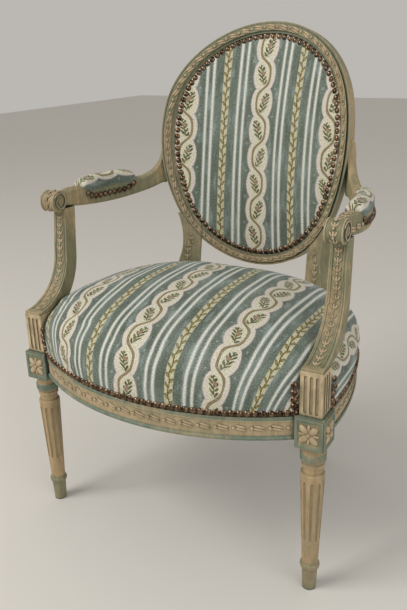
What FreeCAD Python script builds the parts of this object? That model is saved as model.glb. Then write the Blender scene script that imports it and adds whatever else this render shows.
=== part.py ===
import FreeCAD, Part
import Sketcher
import math
import os

V = FreeCAD.Vector
Turn = FreeCAD.Rotation
Place = FreeCAD.Placement
UP = V(0, 0, 1)

doc = FreeCAD.newDocument("fauteuil")
sheet = doc.addObject("Spreadsheet::Sheet", "sizes")

# Driving sizes in millimetres. Distances back are measured from the front leg axes.
SIZES = (
    ("axis_depth", 180.2, "front leg axes ahead of the origin"),
    ("leg_spread", 270, "front leg axes either side of the middle"),
    ("foot_radius", 11.5, "toe of a leg"),
    ("foot_top_radius", 13, "top of the toe"),
    ("foot_height", 38, "height of the toe"),
    ("ring_radius", 16.6, "ring above the toe"),
    ("ring_height", 12, "height of that ring"),
    ("shaft_low_radius", 14, "bottom of the fluted shaft"),
    ("shaft_top_radius", 19.8, "top of the fluted shaft"),
    ("shaft_top", 228, "height where the fluted shaft ends"),
    ("neck_radius", 16.5, "neck above the shaft"),
    ("bead_radius", 18.6, "narrow bead of the neck"),
    ("cap_radius", 21, "wide ring under the block"),
    ("flute_count", 10, "flutes round a leg"),
    ("flute_radius", 3.1, "half width of a flute"),
    ("flute_bottom", 96, "lower end of the flutes"),
    ("flute_top", 218, "upper end of the flutes"),
    ("block_side", 46.5, "rosette block of a front leg"),
    ("block_bottom", 277, "underside of the rosette block"),
    ("block_top", 332, "top of the rosette block"),
    ("block_round", 7, "rounding under the block"),
    ("post_side", 36, "fluted post over the block"),
    ("post_top", 406, "top of the fluted post"),
    ("post_flute_width", 5.6, "flute of the post"),
    ("post_flute_pitch", 9.4, "flute to flute on the post"),
    ("post_flute_depth", 2.2, "depth of a post flute"),
    ("post_flute_low", 7, "plain wood under the post flutes"),
    ("post_flute_high", 9, "plain wood over the post flutes"),
    ("rail_bottom", 287, "underside of the seat rails"),
    ("rail_top", 344, "top of the seat rails"),
    ("rail_thickness", 29, "seat rail thickness"),
    ("rebate_bottom", 328, "lower end of the rebate for the cover"),
    ("rebate_depth", 2.6, "depth of the rebate for the cover"),
    ("bead_height", 8, "lower bead of the rails"),
    ("rail_sunk", 1.5, "carved band of the rails behind their upper edge"),
    ("front_bow_radius", 440, "plan radius of the front rail"),
    ("front_reach", 94, "front rail ahead of the leg axes"),
    ("side_face", 289, "outer face of the side rails"),
    ("side_radius", 591, "plan radius along the side rail"),
    ("side_centre_back", 60, "centre of that radius behind the leg axes"),
    ("side_turn", 16.8, "degrees where the tighter bend starts"),
    ("corner_radius", 147.3, "plan radius at the back of the side rail"),
    ("corner_turn", 72, "degrees where the side rail ends"),
    ("rear_block", 40, "side of the rear leg block"),
    ("tenon_thickness", 9, "tenons of the rails"),
    ("tenon_height", 36, "height of the rail tenons"),
    ("tenon_length", 18, "length of the rail tenons"),
    ("tenon_shoulder", 10, "wood of a rail under its tenon"),
    ("joint_gap", 0.15, "clearance round tenons and pegs"),
    ("peg_radius", 3.5, "pegs of the seat joints"),
    ("peg_height", 28, "pegs above the underside of the rails"),
    ("peg_sink", 0.2, "head of a peg below the face of its block"),
    ("brace_bottom", 300, "underside of the corner blocks"),
    ("brace_height", 27, "thickness of the corner blocks"),
    ("brace_front", 86, "front corner blocks along the front rail from the leg axes"),
    ("brace_side", 74, "front corner blocks along the side rails from the leg blocks"),
    ("brace_rear", 56, "rear corner blocks along the rear rail from the stiles"),
    ("screw_radius", 2, "shank of the corner block screws"),
    ("screw_head_radius", 4, "head of the corner block screws"),
    ("screw_length", 34, "length of the corner block screws"),
    ("rear_foot_spread", 153, "rear feet either side of the middle"),
    ("rear_foot_back", 372, "rear feet behind the front leg axes"),
    ("back_distance", 395.3, "middle of the medallion behind the front leg axes"),
    ("back_height", 664, "middle of the medallion above the floor"),
    ("rake", 8.72, "degrees that the back leans"),
    ("back_bend", 307.6, "radius of the hollow of the back"),
    ("oval_half_width", 168.8, "nail line of the medallion, half width"),
    ("oval_half_height", 208.5, "nail line of the medallion, half height"),
    ("oval_side_radius", 322, "plan radius of the sides of the medallion"),
    ("oval_egg", 14.5, "widest place above the middle"),
    ("frame_out", 28, "outer edge of the wood beyond the nails"),
    ("frame_in", 18, "inner edge of the wood inside the nails"),
    ("frame_depth", 28, "thickness of the medallion frame"),
    ("frame_rebate", 6, "depth of the rebate for the upholstery"),
    ("frame_lip", 6.5, "edge of the wooden moulding beyond the nails"),
    ("crest_joint", 78, "crest joints above the middle of the medallion"),
    ("base_joint", 92, "base rail joints either side of the middle"),
    ("stile_width", 36, "width of a stile"),
    ("stile_inner", 119, "inner edge of a stile from the middle"),
    ("support_width", 33, "foot of an arm support"),
    ("support_top_width", 26, "top of an arm support"),
    ("support_curve", 94, "radius of the sweep of an arm support"),
    ("support_curve_height", 505, "centre of that sweep above the floor"),
    ("support_curve_ahead", 20, "centre of that sweep ahead of the leg axes"),
    ("support_lean", 6, "degrees that the upper part leans"),
    ("support_depth", 29, "thickness of an arm support"),
    ("support_top", 582, "top of an arm support"),
    ("scroll_radius", 18.5, "radius of the scroll"),
    ("scroll_height", 598, "centre of the scroll above the floor"),
    ("scroll_back", 70, "centre of the scroll behind the leg axes"),
    ("scroll_width", 28, "width of the scroll"),
    ("arm_bottom", 579, "underside of the arm at the scroll"),
    ("arm_thickness", 29, "height of the arm behind the scroll"),
    ("pad_front", 147, "front end of an arm pad"),
    ("pad_rear", 284, "rear end of an arm pad"),
    ("pad_rise", 16, "crown of an arm pad above the arm"),
    ("pad_nails_low", 10, "side nails of an arm pad above the underside of the arm"),
    ("pad_nails_rise", 17, "rise of those nails at the ends of the pad"),
    ("pad_nails_end", 6, "first nail of an arm pad from its end"),
    ("arm_screw_radius", 2.5, "shank of an arm screw"),
    ("arm_screw_length", 58, "length of an arm screw"),
    ("arm_screw_head", 4.5, "head of an arm screw"),
    ("arm_screw_head_height", 4, "height of that head"),
    ("cover_thickness", 1.6, "covering fabric"),
    ("cloth_thickness", 0.8, "hessian and bottom cloth"),
    ("web_width", 50, "width of the webbing"),
    ("web_thickness", 1.2, "thickness of the webbing"),
    ("soft_gap", 0.3, "clearance between soft pieces"),
    ("seat_crown", 466, "top of the seat above the floor"),
    ("seat_crown_back", 168, "top of the seat behind the leg axes"),
    ("nail_line", 334, "height of the seat nails"),
    ("nail_radius", 5.7, "nail head"),
    ("nail_rise", 3.6, "height of a nail head"),
    ("nail_pitch", 12.1, "nail to nail"),
    ("back_crown", 24, "crown of the back upholstery"),
)
for row, (alias, number, meaning) in enumerate(SIZES, start=1):
    sheet.set(f"A{row}", meaning)
    sheet.set(f"B{row}", str(number))
    sheet.setAlias(f"B{row}", alias)
doc.recompute()


def mm(alias):
    """Reads one size of the sheet."""
    return float(sheet.get(alias))


def worth(text):
    """Works out an expression on the sheet's sizes."""
    return float(sheet.evalExpression(text))


def bind(thing, **rules):
    """Ties properties of an object to the sheet."""
    for name, text in rules.items():
        thing.setExpression(name.replace("__", "."), text)


# Every sub-part by its node name, in the order of making
PARTS = {}
BACK = -mm("axis_depth")


def new_body(name):
    """Starts the body of a piece whose own frame stands on the floor under the front leg axes."""
    body = doc.addObject("PartDesign::Body", name)
    body.Label = name
    body.Placement = Place(V(0, BACK, 0), Turn())
    bind(body, Placement__Base__y="-sizes.axis_depth")
    return body


def new_sketch(body, plane, lift=None):
    """Puts a sketch on a plane of the body's own origin, raised by an expression."""
    sketch = body.newObject("Sketcher::SketchObject", "outline")
    for feature in body.Origin.OriginFeatures:
        if feature.Role == plane:
            sketch.AttachmentSupport = [(feature, "")]
    sketch.MapMode = "FlatFace"
    if lift:
        bind(sketch, AttachmentOffset__Base__z=lift)
    return sketch


def outline(sketch, corners):
    """Draws a closed chain. A corner is (x, y), or (x, y, radius, side) where an arc leaves it."""
    points = [V(worth(corner[0]), worth(corner[1]), 0) for corner in corners]
    edges = []
    for index, corner in enumerate(corners):
        start = points[index]
        end = points[(index + 1) % len(points)]
        if len(corner) == 2:
            edges.append((sketch.addGeometry(Part.LineSegment(start, end)), 1))
            continue
        radius = worth(corner[2])
        side = corner[3]
        chord = end - start
        rise = math.sqrt(max(radius ** 2 - chord.Length ** 2 / 4, 0))
        left = V(-chord.y, chord.x, 0).normalize()
        centre = (start + end) * 0.5 + left * rise * side
        first, last = (start, end) if side > 0 else (end, start)
        angles = [math.atan2(p.y - centre.y, p.x - centre.x) for p in (first, last)]
        if angles[1] < angles[0]:
            angles[1] += 2 * math.pi
        arc = Part.ArcOfCircle(Part.Circle(centre, UP, radius), angles[0], angles[1])
        edge = sketch.addGeometry(arc)
        edges.append((edge, 1 if side > 0 else 2))
        rule = sketch.addConstraint(Sketcher.Constraint("Radius", edge, radius))
        sketch.setExpression(f"Constraints[{rule}]", corner[2])
    for index, (edge, first) in enumerate(edges):
        after, start = edges[(index + 1) % len(edges)]
        sketch.addConstraint(Sketcher.Constraint("Coincident", edge, 3 - first, after, start))
    for index, (edge, first) in enumerate(edges):
        for kind, text, number in (
            ("DistanceX", corners[index][0], points[index].x),
            ("DistanceY", corners[index][1], points[index].y),
        ):
            rule = sketch.addConstraint(Sketcher.Constraint(kind, -1, 1, edge, first, number))
            sketch.setExpression(f"Constraints[{rule}]", text)


def disc(sketch, x, y, radius):
    """Draws a circle from three expressions."""
    edge = sketch.addGeometry(Part.Circle(V(worth(x), worth(y), 0), UP, worth(radius)))
    for kind, text in (("DistanceX", x), ("DistanceY", y)):
        rule = sketch.addConstraint(Sketcher.Constraint(kind, -1, 1, edge, 3, worth(text)))
        sketch.setExpression(f"Constraints[{rule}]", text)
    rule = sketch.addConstraint(Sketcher.Constraint("Radius", edge, worth(radius)))
    sketch.setExpression(f"Constraints[{rule}]", radius)


def rectangle(sketch, left, right, low, high):
    """Draws a rectangle from four expressions."""
    outline(sketch, [(left, low), (right, low), (right, high), (left, high)])


def pad(body, sketch, length, both_ways=False):
    """Raises a sketch to a solid."""
    feature = body.newObject("PartDesign::Pad", "pad")
    feature.Profile = sketch
    feature.Midplane = both_ways
    bind(feature, Length=length)
    doc.recompute()
    return feature


def pocket(body, sketch, length, both_ways=False, other_way=False):
    """Cuts a sketch out of the body."""
    before = body.Shape.Volume
    feature = body.newObject("PartDesign::Pocket", "pocket")
    feature.Profile = sketch
    feature.Midplane = both_ways
    feature.Reversed = other_way
    bind(feature, Length=length)
    doc.recompute()
    if feature.Shape.Volume > before - 1e-3:
        raise ValueError(f"{body.Label}: a pocket cuts nothing")
    return feature


def rod(start, direction, length, radius):
    """A cylinder object bound to the sheet by its radius and length expressions."""
    tool = doc.addObject("Part::Cylinder", "rod")
    tool.Placement = Place(start, Turn(UP, direction))
    bind(tool, Radius=radius, Height=length)
    return tool


def drilled(name, base, tools):
    """Cuts rods out of a piece and gives the result the piece's name."""
    doc.recompute()
    base.Label = name + "_blank"
    if not tools:
        raise ValueError(name + " has no holes")
    joined = tools[0]
    if len(tools) > 1:
        joined = doc.addObject("Part::MultiFuse", name + "_drills")
        joined.Shapes = tools
    cut = doc.addObject("Part::Cut", name)
    cut.Base = base
    cut.Tool = joined
    cut.Label = name
    PARTS[name] = cut
    return cut


def group(name, members):
    """Keeps several equal solids as one node."""
    joined = doc.addObject("Part::Compound", name)
    joined.Links = members
    joined.Label = name
    PARTS[name] = joined


def shaped(name, shape, mirror=False):
    """Keeps a shape that was worked out from the sheet, stood behind the origin."""
    if mirror:
        shape = shape.mirror(V(0, 0, 0), V(1, 0, 0))
    piece = doc.addObject("Part::Feature", name)
    piece.Shape = shape
    piece.Label = name
    piece.Placement = Place(V(0, BACK, 0), Turn())
    PARTS[name] = piece
    return piece


SIDES = (("left", -1), ("right", 1))
GAP = "sizes.joint_gap"
TENON_LOW = "sizes.rail_bottom + sizes.tenon_shoulder"


def at(x, y, z):
    """A point given behind the front leg axes, in the frame of the whole chair."""
    return V(x, y + BACK, z)


def swing(radius, degrees):
    """A vector in plan."""
    angle = math.radians(degrees)
    return V(radius * math.cos(angle), radius * math.sin(angle), 0)


# Plan of the side rail: a long arc, then a tighter arc that ends at the rear leg block
side_centre = V(mm("side_face") - mm("side_radius"), mm("side_centre_back"), 0)
corner_centre = side_centre + swing(mm("side_radius") - mm("corner_radius"), mm("side_turn"))
rail_end = corner_centre + swing(mm("corner_radius") - mm("rail_thickness") / 2, mm("corner_turn"))
along_end = swing(1, mm("corner_turn") + 90)
across_end = swing(1, mm("corner_turn"))
rear_block_centre = rail_end + along_end * (mm("rear_block") / 2)

SIDE_X = "(sizes.side_face - sizes.side_radius)"
SIDE_Y = "sizes.side_centre_back"
CORNER_X = f"({SIDE_X} + (sizes.side_radius - sizes.corner_radius) * cos(sizes.side_turn * 1 deg))"
CORNER_Y = f"({SIDE_Y} + (sizes.side_radius - sizes.corner_radius) * sin(sizes.side_turn * 1 deg))"


def side_plan(sign, outer, inner, front, tail):
    """Corners of a stretch of the side rail between two offsets from its outer face."""
    corners = []
    front_outer = f"({SIDE_X} + sqrt((sizes.side_radius - {outer})^2 - ({front} - {SIDE_Y})^2))"
    front_inner = f"({SIDE_X} + sqrt((sizes.side_radius - {inner})^2 - ({front} - {SIDE_Y})^2))"
    joint = "sizes.side_turn * 1 deg"

    def on_side(offset):
        """Where the long arc meets the tighter one, at an offset."""
        return (
            f"({SIDE_X} + (sizes.side_radius - {offset}) * cos({joint}))",
            f"({SIDE_Y} + (sizes.side_radius - {offset}) * sin({joint}))",
        )

    def on_corner(offset):
        """Where the tighter arc ends, at an offset."""
        return (
            f"({CORNER_X} + (sizes.corner_radius - {offset}) * cos({tail} * 1 deg))",
            f"({CORNER_Y} + (sizes.corner_radius - {offset}) * sin({tail} * 1 deg))",
        )

    steps = [
        (front_outer, front, f"sizes.side_radius - {outer}", 1),
        (*on_side(outer), f"sizes.corner_radius - {outer}", 1),
        on_corner(outer),
        (*on_corner(inner), f"sizes.corner_radius - {inner}", -1),
        (*on_side(inner), f"sizes.side_radius - {inner}", -1),
        (front_inner, front),
    ]
    for step in steps:
        x = step[0] if sign > 0 else f"-({step[0]})"
        if len(step) == 2:
            corners.append((x, step[1]))
        else:
            corners.append((x, step[1], step[2], step[3] * sign))
    return corners


# Front legs: each is one turned and squared piece from the toe to the top of the fluted post
FOOT = "sizes.foot_height"
RING_LOW = "(sizes.foot_height + 3)"
RING_TOP = f"({RING_LOW} + sizes.ring_height)"
SHAFT_LOW = ("sizes.shaft_low_radius - 0.5", f"{RING_TOP} + 3")
LEG_PROFILE = [
    ("0", "0"),
    ("sizes.foot_radius", "0"),
    ("sizes.foot_top_radius", FOOT),
    ("sizes.ring_radius - 3", RING_LOW),
    ("sizes.ring_radius - 0.9", f"{RING_LOW} + sizes.ring_height * 0.2"),
    ("sizes.ring_radius", f"{RING_LOW} + sizes.ring_height * 0.5"),
    ("sizes.ring_radius - 0.9", f"{RING_LOW} + sizes.ring_height * 0.8"),
    ("sizes.ring_radius - 3", RING_TOP),
    SHAFT_LOW,
    ("sizes.shaft_top_radius", "sizes.shaft_top - 3"),
    ("sizes.shaft_top_radius - 1", "sizes.shaft_top"),
    ("sizes.neck_radius", "sizes.shaft_top + 1"),
    ("sizes.neck_radius", "sizes.shaft_top + 12"),
    ("sizes.bead_radius", "sizes.shaft_top + 13"),
    ("sizes.bead_radius", "sizes.shaft_top + 18"),
    ("sizes.neck_radius + 1", "sizes.shaft_top + 19"),
    ("sizes.neck_radius + 1", "sizes.shaft_top + 22"),
    ("sizes.cap_radius", "sizes.shaft_top + 24"),
    ("sizes.cap_radius", "sizes.shaft_top + 35"),
    ("sizes.neck_radius + 2", "sizes.shaft_top + 38"),
    ("sizes.neck_radius + 2", "sizes.block_bottom + 4"),
    ("0", "sizes.block_bottom + 4"),
]


def cut_flutes(body):
    """Cuts one round-ended flute along the taper and repeats it round the leg."""
    slope = "((sizes.shaft_top_radius - sizes.shaft_low_radius) / (sizes.shaft_top - 69))"
    low = f"(sizes.shaft_low_radius + (sizes.flute_bottom - 69) * {slope} + sizes.flute_radius * 0.35)"
    high = f"(sizes.shaft_low_radius + (sizes.flute_top - 69) * {slope} + sizes.flute_radius * 0.35)"
    sketch = new_sketch(body, "XZ_Plane")
    outline(sketch, [
        (low, "sizes.flute_bottom"),
        (f"{low} + sizes.flute_radius", "sizes.flute_bottom + sizes.flute_radius * 2"),
        (f"{high} + sizes.flute_radius", "sizes.flute_top - sizes.flute_radius * 2"),
        (high, "sizes.flute_top"),
    ])
    before = body.Shape.Volume
    groove = body.newObject("PartDesign::Groove", "flute")
    groove.Profile = sketch
    groove.ReferenceAxis = (sketch, ["Edge4"])
    groove.Angle = 360
    doc.recompute()
    if groove.Shape.Volume > before - 1:
        raise ValueError("the flute cuts nothing")
    pattern = body.newObject("PartDesign::PolarPattern", "flutes")
    pattern.Originals = [groove]
    for feature in body.Origin.OriginFeatures:
        if feature.Role == "Z_Axis":
            pattern.Axis = (feature, [""])
    pattern.Angle = 360
    bind(pattern, Occurrences="sizes.flute_count")
    body.Tip = pattern
    doc.recompute()


def front_leg(name, sign):
    """Makes one front leg in a frame that stands under its own axis."""
    body = doc.addObject("PartDesign::Body", name)
    bind(body, Placement__Base__x=f"{sign} * sizes.leg_spread", Placement__Base__y="-sizes.axis_depth")
    sketch = new_sketch(body, "XZ_Plane")
    outline(sketch, LEG_PROFILE)
    turned = body.newObject("PartDesign::Revolution", "turning")
    turned.Profile = sketch
    turned.ReferenceAxis = (sketch, ["V_Axis"])
    turned.Angle = 360
    doc.recompute()
    cut_flutes(body)
    half = "sizes.block_side / 2"
    sketch = new_sketch(body, "XY_Plane", "sizes.block_bottom")
    rectangle(sketch, f"-{half}", half, f"-{half}", half)
    block = pad(body, sketch, "sizes.block_top - sizes.block_bottom")
    low_edges = []
    for index, edge in enumerate(block.Shape.Edges, start=1):
        box = edge.BoundBox
        flat = abs(box.ZMin - mm("block_bottom")) < 0.01 and box.ZLength < 0.01
        if flat and abs(edge.Length - mm("block_side")) < 0.1:
            low_edges.append(f"Edge{index}")
    rounding = body.newObject("PartDesign::Chamfer", "rounding")
    rounding.Base = (block, low_edges)
    bind(rounding, Size="sizes.block_round * 0.6")
    doc.recompute()
    half = "sizes.post_side / 2"
    sketch = new_sketch(body, "XY_Plane", "sizes.block_top - 1")
    rectangle(sketch, f"-{half}", half, f"-{half}", half)
    pad(body, sketch, "sizes.post_top - sizes.block_top + 1")
    for plane, outward in (("XZ_Plane", 1), ("YZ_Plane", sign)):
        sketch = new_sketch(body, plane, f"{outward} * (sizes.post_side / 2 - sizes.post_flute_depth)")
        for place in (-1, 0, 1):
            left = f"{place} * sizes.post_flute_pitch - sizes.post_flute_width / 2"
            right = f"{place} * sizes.post_flute_pitch + sizes.post_flute_width / 2"
            low = "sizes.block_top + sizes.post_flute_low"
            high = "sizes.post_top - sizes.post_flute_high"
            radius = "sizes.post_flute_width / 2 + 0.01"
            outline(sketch, [(left, low, radius, 1), (right, low), (right, high, radius, 1), (left, high)])
        pocket(body, sketch, "sizes.post_flute_depth + 1", other_way=outward > 0)
    # Mortise for the front rail in the inner face
    sketch = new_sketch(body, "XY_Plane", f"{TENON_LOW} - {GAP}")
    face = f"{-sign} * (sizes.block_side / 2 + 1)"
    bottom = f"{-sign} * (sizes.block_side / 2 - sizes.tenon_length - {GAP})"
    low, high = (face, bottom) if sign > 0 else (bottom, face)
    rectangle(sketch, low, high, f"-sizes.tenon_thickness / 2 - {GAP}", f"sizes.tenon_thickness / 2 + {GAP}")
    pocket(body, sketch, f"sizes.tenon_height + 2 * {GAP}", other_way=True)
    # Mortise for the side rail in the rear face
    sketch = new_sketch(body, "XY_Plane", f"{TENON_LOW} - {GAP}")
    middle = f"{sign} * (sizes.side_face - sizes.rail_thickness / 2 - sizes.leg_spread)"
    rectangle(
        sketch,
        f"{middle} - sizes.tenon_thickness / 2 - {GAP}",
        f"{middle} + sizes.tenon_thickness / 2 + {GAP}",
        f"sizes.block_side / 2 - sizes.tenon_length - {GAP}",
        "sizes.block_side / 2 + 1",
    )
    pocket(body, sketch, f"sizes.tenon_height + 2 * {GAP}", other_way=True)
    # Mortise for the arm support in the top of the post
    sketch = new_sketch(body, "XY_Plane", "sizes.post_top + 1")
    reach = f"(sizes.tenon_thickness / 2 + {GAP})"
    rectangle(sketch, f"-{reach} * 2", f"{reach} * 2", f"-{reach}", reach)
    pocket(body, sketch, f"sizes.tenon_length + 1 + {GAP}")
    return body


# Pegs: each runs from a face of a block through a mortise and its tenon
PEG = "sizes.peg_radius"
PEG_HOLE = f"{PEG} + {GAP}"
PEG_LENGTH = "sizes.block_side * 0.75"
SEAT_PEGS = []
leg_axis = mm("leg_spread")
half_block = mm("block_side") / 2
peg_z = mm("rail_bottom") + mm("peg_height")
peg_in = half_block - mm("tenon_length") / 2
peg_out = half_block - mm("peg_sink")
for side, sign in SIDES:
    front_peg = at(sign * (leg_axis - peg_in), peg_out, peg_z)
    side_peg = at(sign * (leg_axis + peg_out), peg_in, peg_z)
    SEAT_PEGS.append((f"front_{side}", front_peg, V(0, -1, 0)))
    SEAT_PEGS.append((f"side_{side}", side_peg, V(-sign, 0, 0)))


def peg_drills(names):
    """Drills for the named seat pegs, a little longer than the pegs."""
    deep = f"{PEG_LENGTH} + 2 * {GAP}"
    return [rod(start, way, deep, PEG_HOLE) for name, start, way in SEAT_PEGS if name in names]


for side, sign in SIDES:
    leg = front_leg(f"front_leg_{side}_blank", sign)
    drilled(f"front_leg_{side}", leg, peg_drills((f"front_{side}", f"side_{side}")))

# Front rail: sawn to the bow, moulded, and tenoned into the rosette blocks
BOW = "sizes.front_bow_radius"
RAIL_MOULDING = [
    (f"-{BOW} + sizes.rail_sunk", "sizes.rail_bottom", "sizes.bead_height * 0.52", -1),
    (f"-{BOW} + sizes.rail_sunk", "sizes.rail_bottom + sizes.bead_height"),
    (f"-{BOW} + sizes.rail_sunk", "sizes.rebate_bottom - 10"),
    (f"-{BOW}", "sizes.rebate_bottom - 8"),
    (f"-{BOW}", "sizes.rebate_bottom"),
    (f"-{BOW} + sizes.rebate_depth", "sizes.rebate_bottom"),
    (f"-{BOW} + sizes.rebate_depth", "sizes.rail_top"),
    (f"-{BOW} + sizes.rail_thickness", "sizes.rail_top"),
    (f"-{BOW} + sizes.rail_thickness", "sizes.rail_bottom"),
]
bow_centre = mm("front_bow_radius") - mm("front_reach")
front_blank = doc.addObject("PartDesign::Body", "front_rail_blank")
bind(front_blank, Placement__Base__y="sizes.front_bow_radius - sizes.front_reach - sizes.axis_depth")
sketch = new_sketch(front_blank, "YZ_Plane")
outline(sketch, RAIL_MOULDING)
bow = front_blank.newObject("PartDesign::Revolution", "bow")
bow.Profile = sketch
bow.ReferenceAxis = (sketch, ["V_Axis"])
bow.Midplane = True
bind(bow, Angle=f"2 * asin(sizes.leg_spread / ({BOW} - sizes.rail_thickness)) / 1 deg")
doc.recompute()
SHOULDER = "(sizes.leg_spread - sizes.block_side / 2)"
for sign in (-1, 1):
    sketch = new_sketch(front_blank, "XY_Plane", "sizes.rail_bottom - 5")
    past = "(sizes.leg_spread + 60)"
    near, far = (SHOULDER, past) if sign > 0 else (f"-{past}", f"-{SHOULDER}")
    rectangle(sketch, near, far, f"-{BOW} - 30", f"-{BOW} + 220")
    pocket(front_blank, sketch, "sizes.rail_top - sizes.rail_bottom + 10", other_way=True)
for sign in (-1, 1):
    sketch = new_sketch(front_blank, "XY_Plane", TENON_LOW)
    near = f"{sign} * ({SHOULDER} - 4)"
    far = f"{sign} * ({SHOULDER} + sizes.tenon_length)"
    middle = f"-{BOW} + sizes.front_reach"
    low, high = (near, far) if sign > 0 else (far, near)
    half = "sizes.tenon_thickness / 2"
    rectangle(sketch, low, high, f"{middle} - {half}", f"{middle} + {half}")
    pad(front_blank, sketch, "sizes.tenon_height")

# Screws of the corner blocks: start, direction and the rail that each one bites
SCREWS = []
for side, sign in SIDES:
    SCREWS.append((f"front_{side}", "front_rail", V(sign * 212, 14, 0), V(0, -1, 0)))
    SCREWS.append((f"front_{side}", f"side_rail_{side}", V(sign * 245, 62, 0), V(sign, 0, 0)))
    out = swing(1, 48)
    start = corner_centre + out * (mm("corner_radius") - mm("rail_thickness") - 16)
    bite = V(sign * out.x, out.y, 0)
    SCREWS.append((f"rear_{side}", f"side_rail_{side}", V(sign * start.x, start.y, 0), bite))
    SCREWS.append((f"rear_{side}", "rear_rail", V(sign * 104, rear_block_centre.y - 22, 0), V(0, 1, 0)))
screw_z = mm("brace_bottom") + mm("brace_height") / 2
MOUTH = 40


def screw_drills(place, index, extra):
    """Drills for the screws that bite a rail or pass through a corner block."""
    tools = []
    for screw in SCREWS:
        if screw[index] == place:
            start = at(screw[2].x, screw[2].y, screw_z)
            tools.append(rod(start, screw[3], "sizes.screw_length + 0.5", f"sizes.screw_radius + {extra}"))
    return tools


drilled(
    "front_rail",
    front_blank,
    peg_drills(("front_left", "front_right")) + screw_drills("front_rail", 1, GAP),
)

# Side rails: sawn to a long arc and a tighter one, with the same moulding in three pads
REAR_ANGLE = "sizes.corner_turn"
END_X = f"({CORNER_X} + (sizes.corner_radius - sizes.rail_thickness / 2) * cos({REAR_ANGLE} * 1 deg))"
END_Y = f"({CORNER_Y} + (sizes.corner_radius - sizes.rail_thickness / 2) * sin({REAR_ANGLE} * 1 deg))"


def side_rail(name, sign):
    """Makes one side rail with a tenon at each end."""
    body = new_body(name)
    front = "sizes.block_side / 2"
    layers = (
        ("sizes.rail_bottom", "sizes.rail_sunk", "sizes.rebate_bottom - 9 - sizes.rail_bottom"),
        ("sizes.rail_bottom + 1", "-0.5", "sizes.bead_height - 2"),
        ("sizes.rebate_bottom - 9", "0", "9"),
        ("sizes.rebate_bottom", "sizes.rebate_depth", "sizes.rail_top - sizes.rebate_bottom"),
    )
    for low, outer, height in layers:
        sketch = new_sketch(body, "XY_Plane", low)
        outline(sketch, side_plan(sign, outer, "sizes.rail_thickness", front, REAR_ANGLE))
        pad(body, sketch, height)
    sketch = new_sketch(body, "XY_Plane", TENON_LOW)
    middle = f"{sign} * (sizes.side_face - sizes.rail_thickness / 2)"
    rectangle(
        sketch,
        f"{middle} - sizes.tenon_thickness / 2",
        f"{middle} + sizes.tenon_thickness / 2",
        f"{front} - sizes.tenon_length",
        f"{front} + 4",
    )
    pad(body, sketch, "sizes.tenon_height")
    sketch = new_sketch(body, "XY_Plane", TENON_LOW)
    corners = []
    for along, across in ((-4, -1), ("sizes.tenon_length", -1), ("sizes.tenon_length", 1), (-4, 1)):
        turn = f"{REAR_ANGLE} * 1 deg"
        x = f"{END_X} - {along} * sin({turn}) + {across} * sizes.tenon_thickness / 2 * cos({turn})"
        y = f"{END_Y} + {along} * cos({turn}) + {across} * sizes.tenon_thickness / 2 * sin({turn})"
        corners.append((x if sign > 0 else f"-({x})", y))
    outline(sketch, corners)
    pad(body, sketch, "sizes.tenon_height")
    return body


def rear_peg(sign, toward):
    """A peg through the block and the tenon that enters it, square to the tenon."""
    centre = rear_block_centre + along_end * toward * (mm("rear_block") / 2 - mm("tenon_length") / 2)
    start = centre + across_end * (mm("rear_block") / 2 - mm("peg_sink"))
    return at(sign * start.x, start.y, peg_z), V(-sign * across_end.x, -across_end.y, 0)


for side, sign in SIDES:
    for name, toward in (("rear_side", -1), ("rear_rail", 1)):
        start, way = rear_peg(sign, toward)
        SEAT_PEGS.append((f"{name}_{side}", start, way))

for side, sign in SIDES:
    blank = side_rail(f"side_rail_{side}_blank", sign)
    drills = peg_drills((f"side_{side}", f"rear_side_{side}"))
    drilled(f"side_rail_{side}", blank, drills + screw_drills(f"side_rail_{side}", 1, GAP))

# Rear rail: straight, between the rear blocks, its ends cut to the turned blocks
rear_face = rear_block_centre + along_end * (mm("rear_block") / 2)
rear_body = new_body("rear_rail_blank")
REAR_X = f"({END_X} - sizes.rear_block * sin({REAR_ANGLE} * 1 deg))"
REAR_Y = f"({END_Y} + sizes.rear_block * cos({REAR_ANGLE} * 1 deg))"
lean = f"tan((90 - {REAR_ANGLE}) * 1 deg)"
half = "sizes.rail_thickness / 2"
sketch = new_sketch(rear_body, "XY_Plane", "sizes.rail_bottom")
outline(sketch, [
    (f"-({REAR_X} - {half} * {lean})", f"{REAR_Y} - {half}"),
    (f"{REAR_X} - {half} * {lean}", f"{REAR_Y} - {half}"),
    (f"{REAR_X} + {half} * {lean}", f"{REAR_Y} + {half}"),
    (f"-({REAR_X} + {half} * {lean})", f"{REAR_Y} + {half}"),
])
pad(rear_body, sketch, "sizes.rail_top - sizes.rail_bottom")
for sign in (-1, 1):
    corners = []
    for along, across in ((-6, -1), ("sizes.tenon_length", -1), ("sizes.tenon_length", 1), (-6, 1)):
        turn = f"{REAR_ANGLE} * 1 deg"
        x = f"{REAR_X} + {along} * sin({turn}) + {across} * sizes.tenon_thickness / 2 * cos({turn})"
        y = f"{REAR_Y} - {along} * cos({turn}) + {across} * sizes.tenon_thickness / 2 * sin({turn})"
        corners.append((x if sign > 0 else f"-({x})", y))
    sketch = new_sketch(rear_body, "XY_Plane", TENON_LOW)
    outline(sketch, corners)
    pad(rear_body, sketch, "sizes.tenon_height")
drills = peg_drills(("rear_rail_left", "rear_rail_right"))
drilled("rear_rail", rear_body, drills + screw_drills("rear_rail", 1, GAP))


def flip(sign, corners):
    """Mirrors corners to the other side of the chair."""
    if sign > 0:
        return corners
    return [(f"-({c[0]})", c[1]) if len(c) == 2 else (f"-({c[0]})", c[1], c[2], -c[3]) for c in corners]


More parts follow.
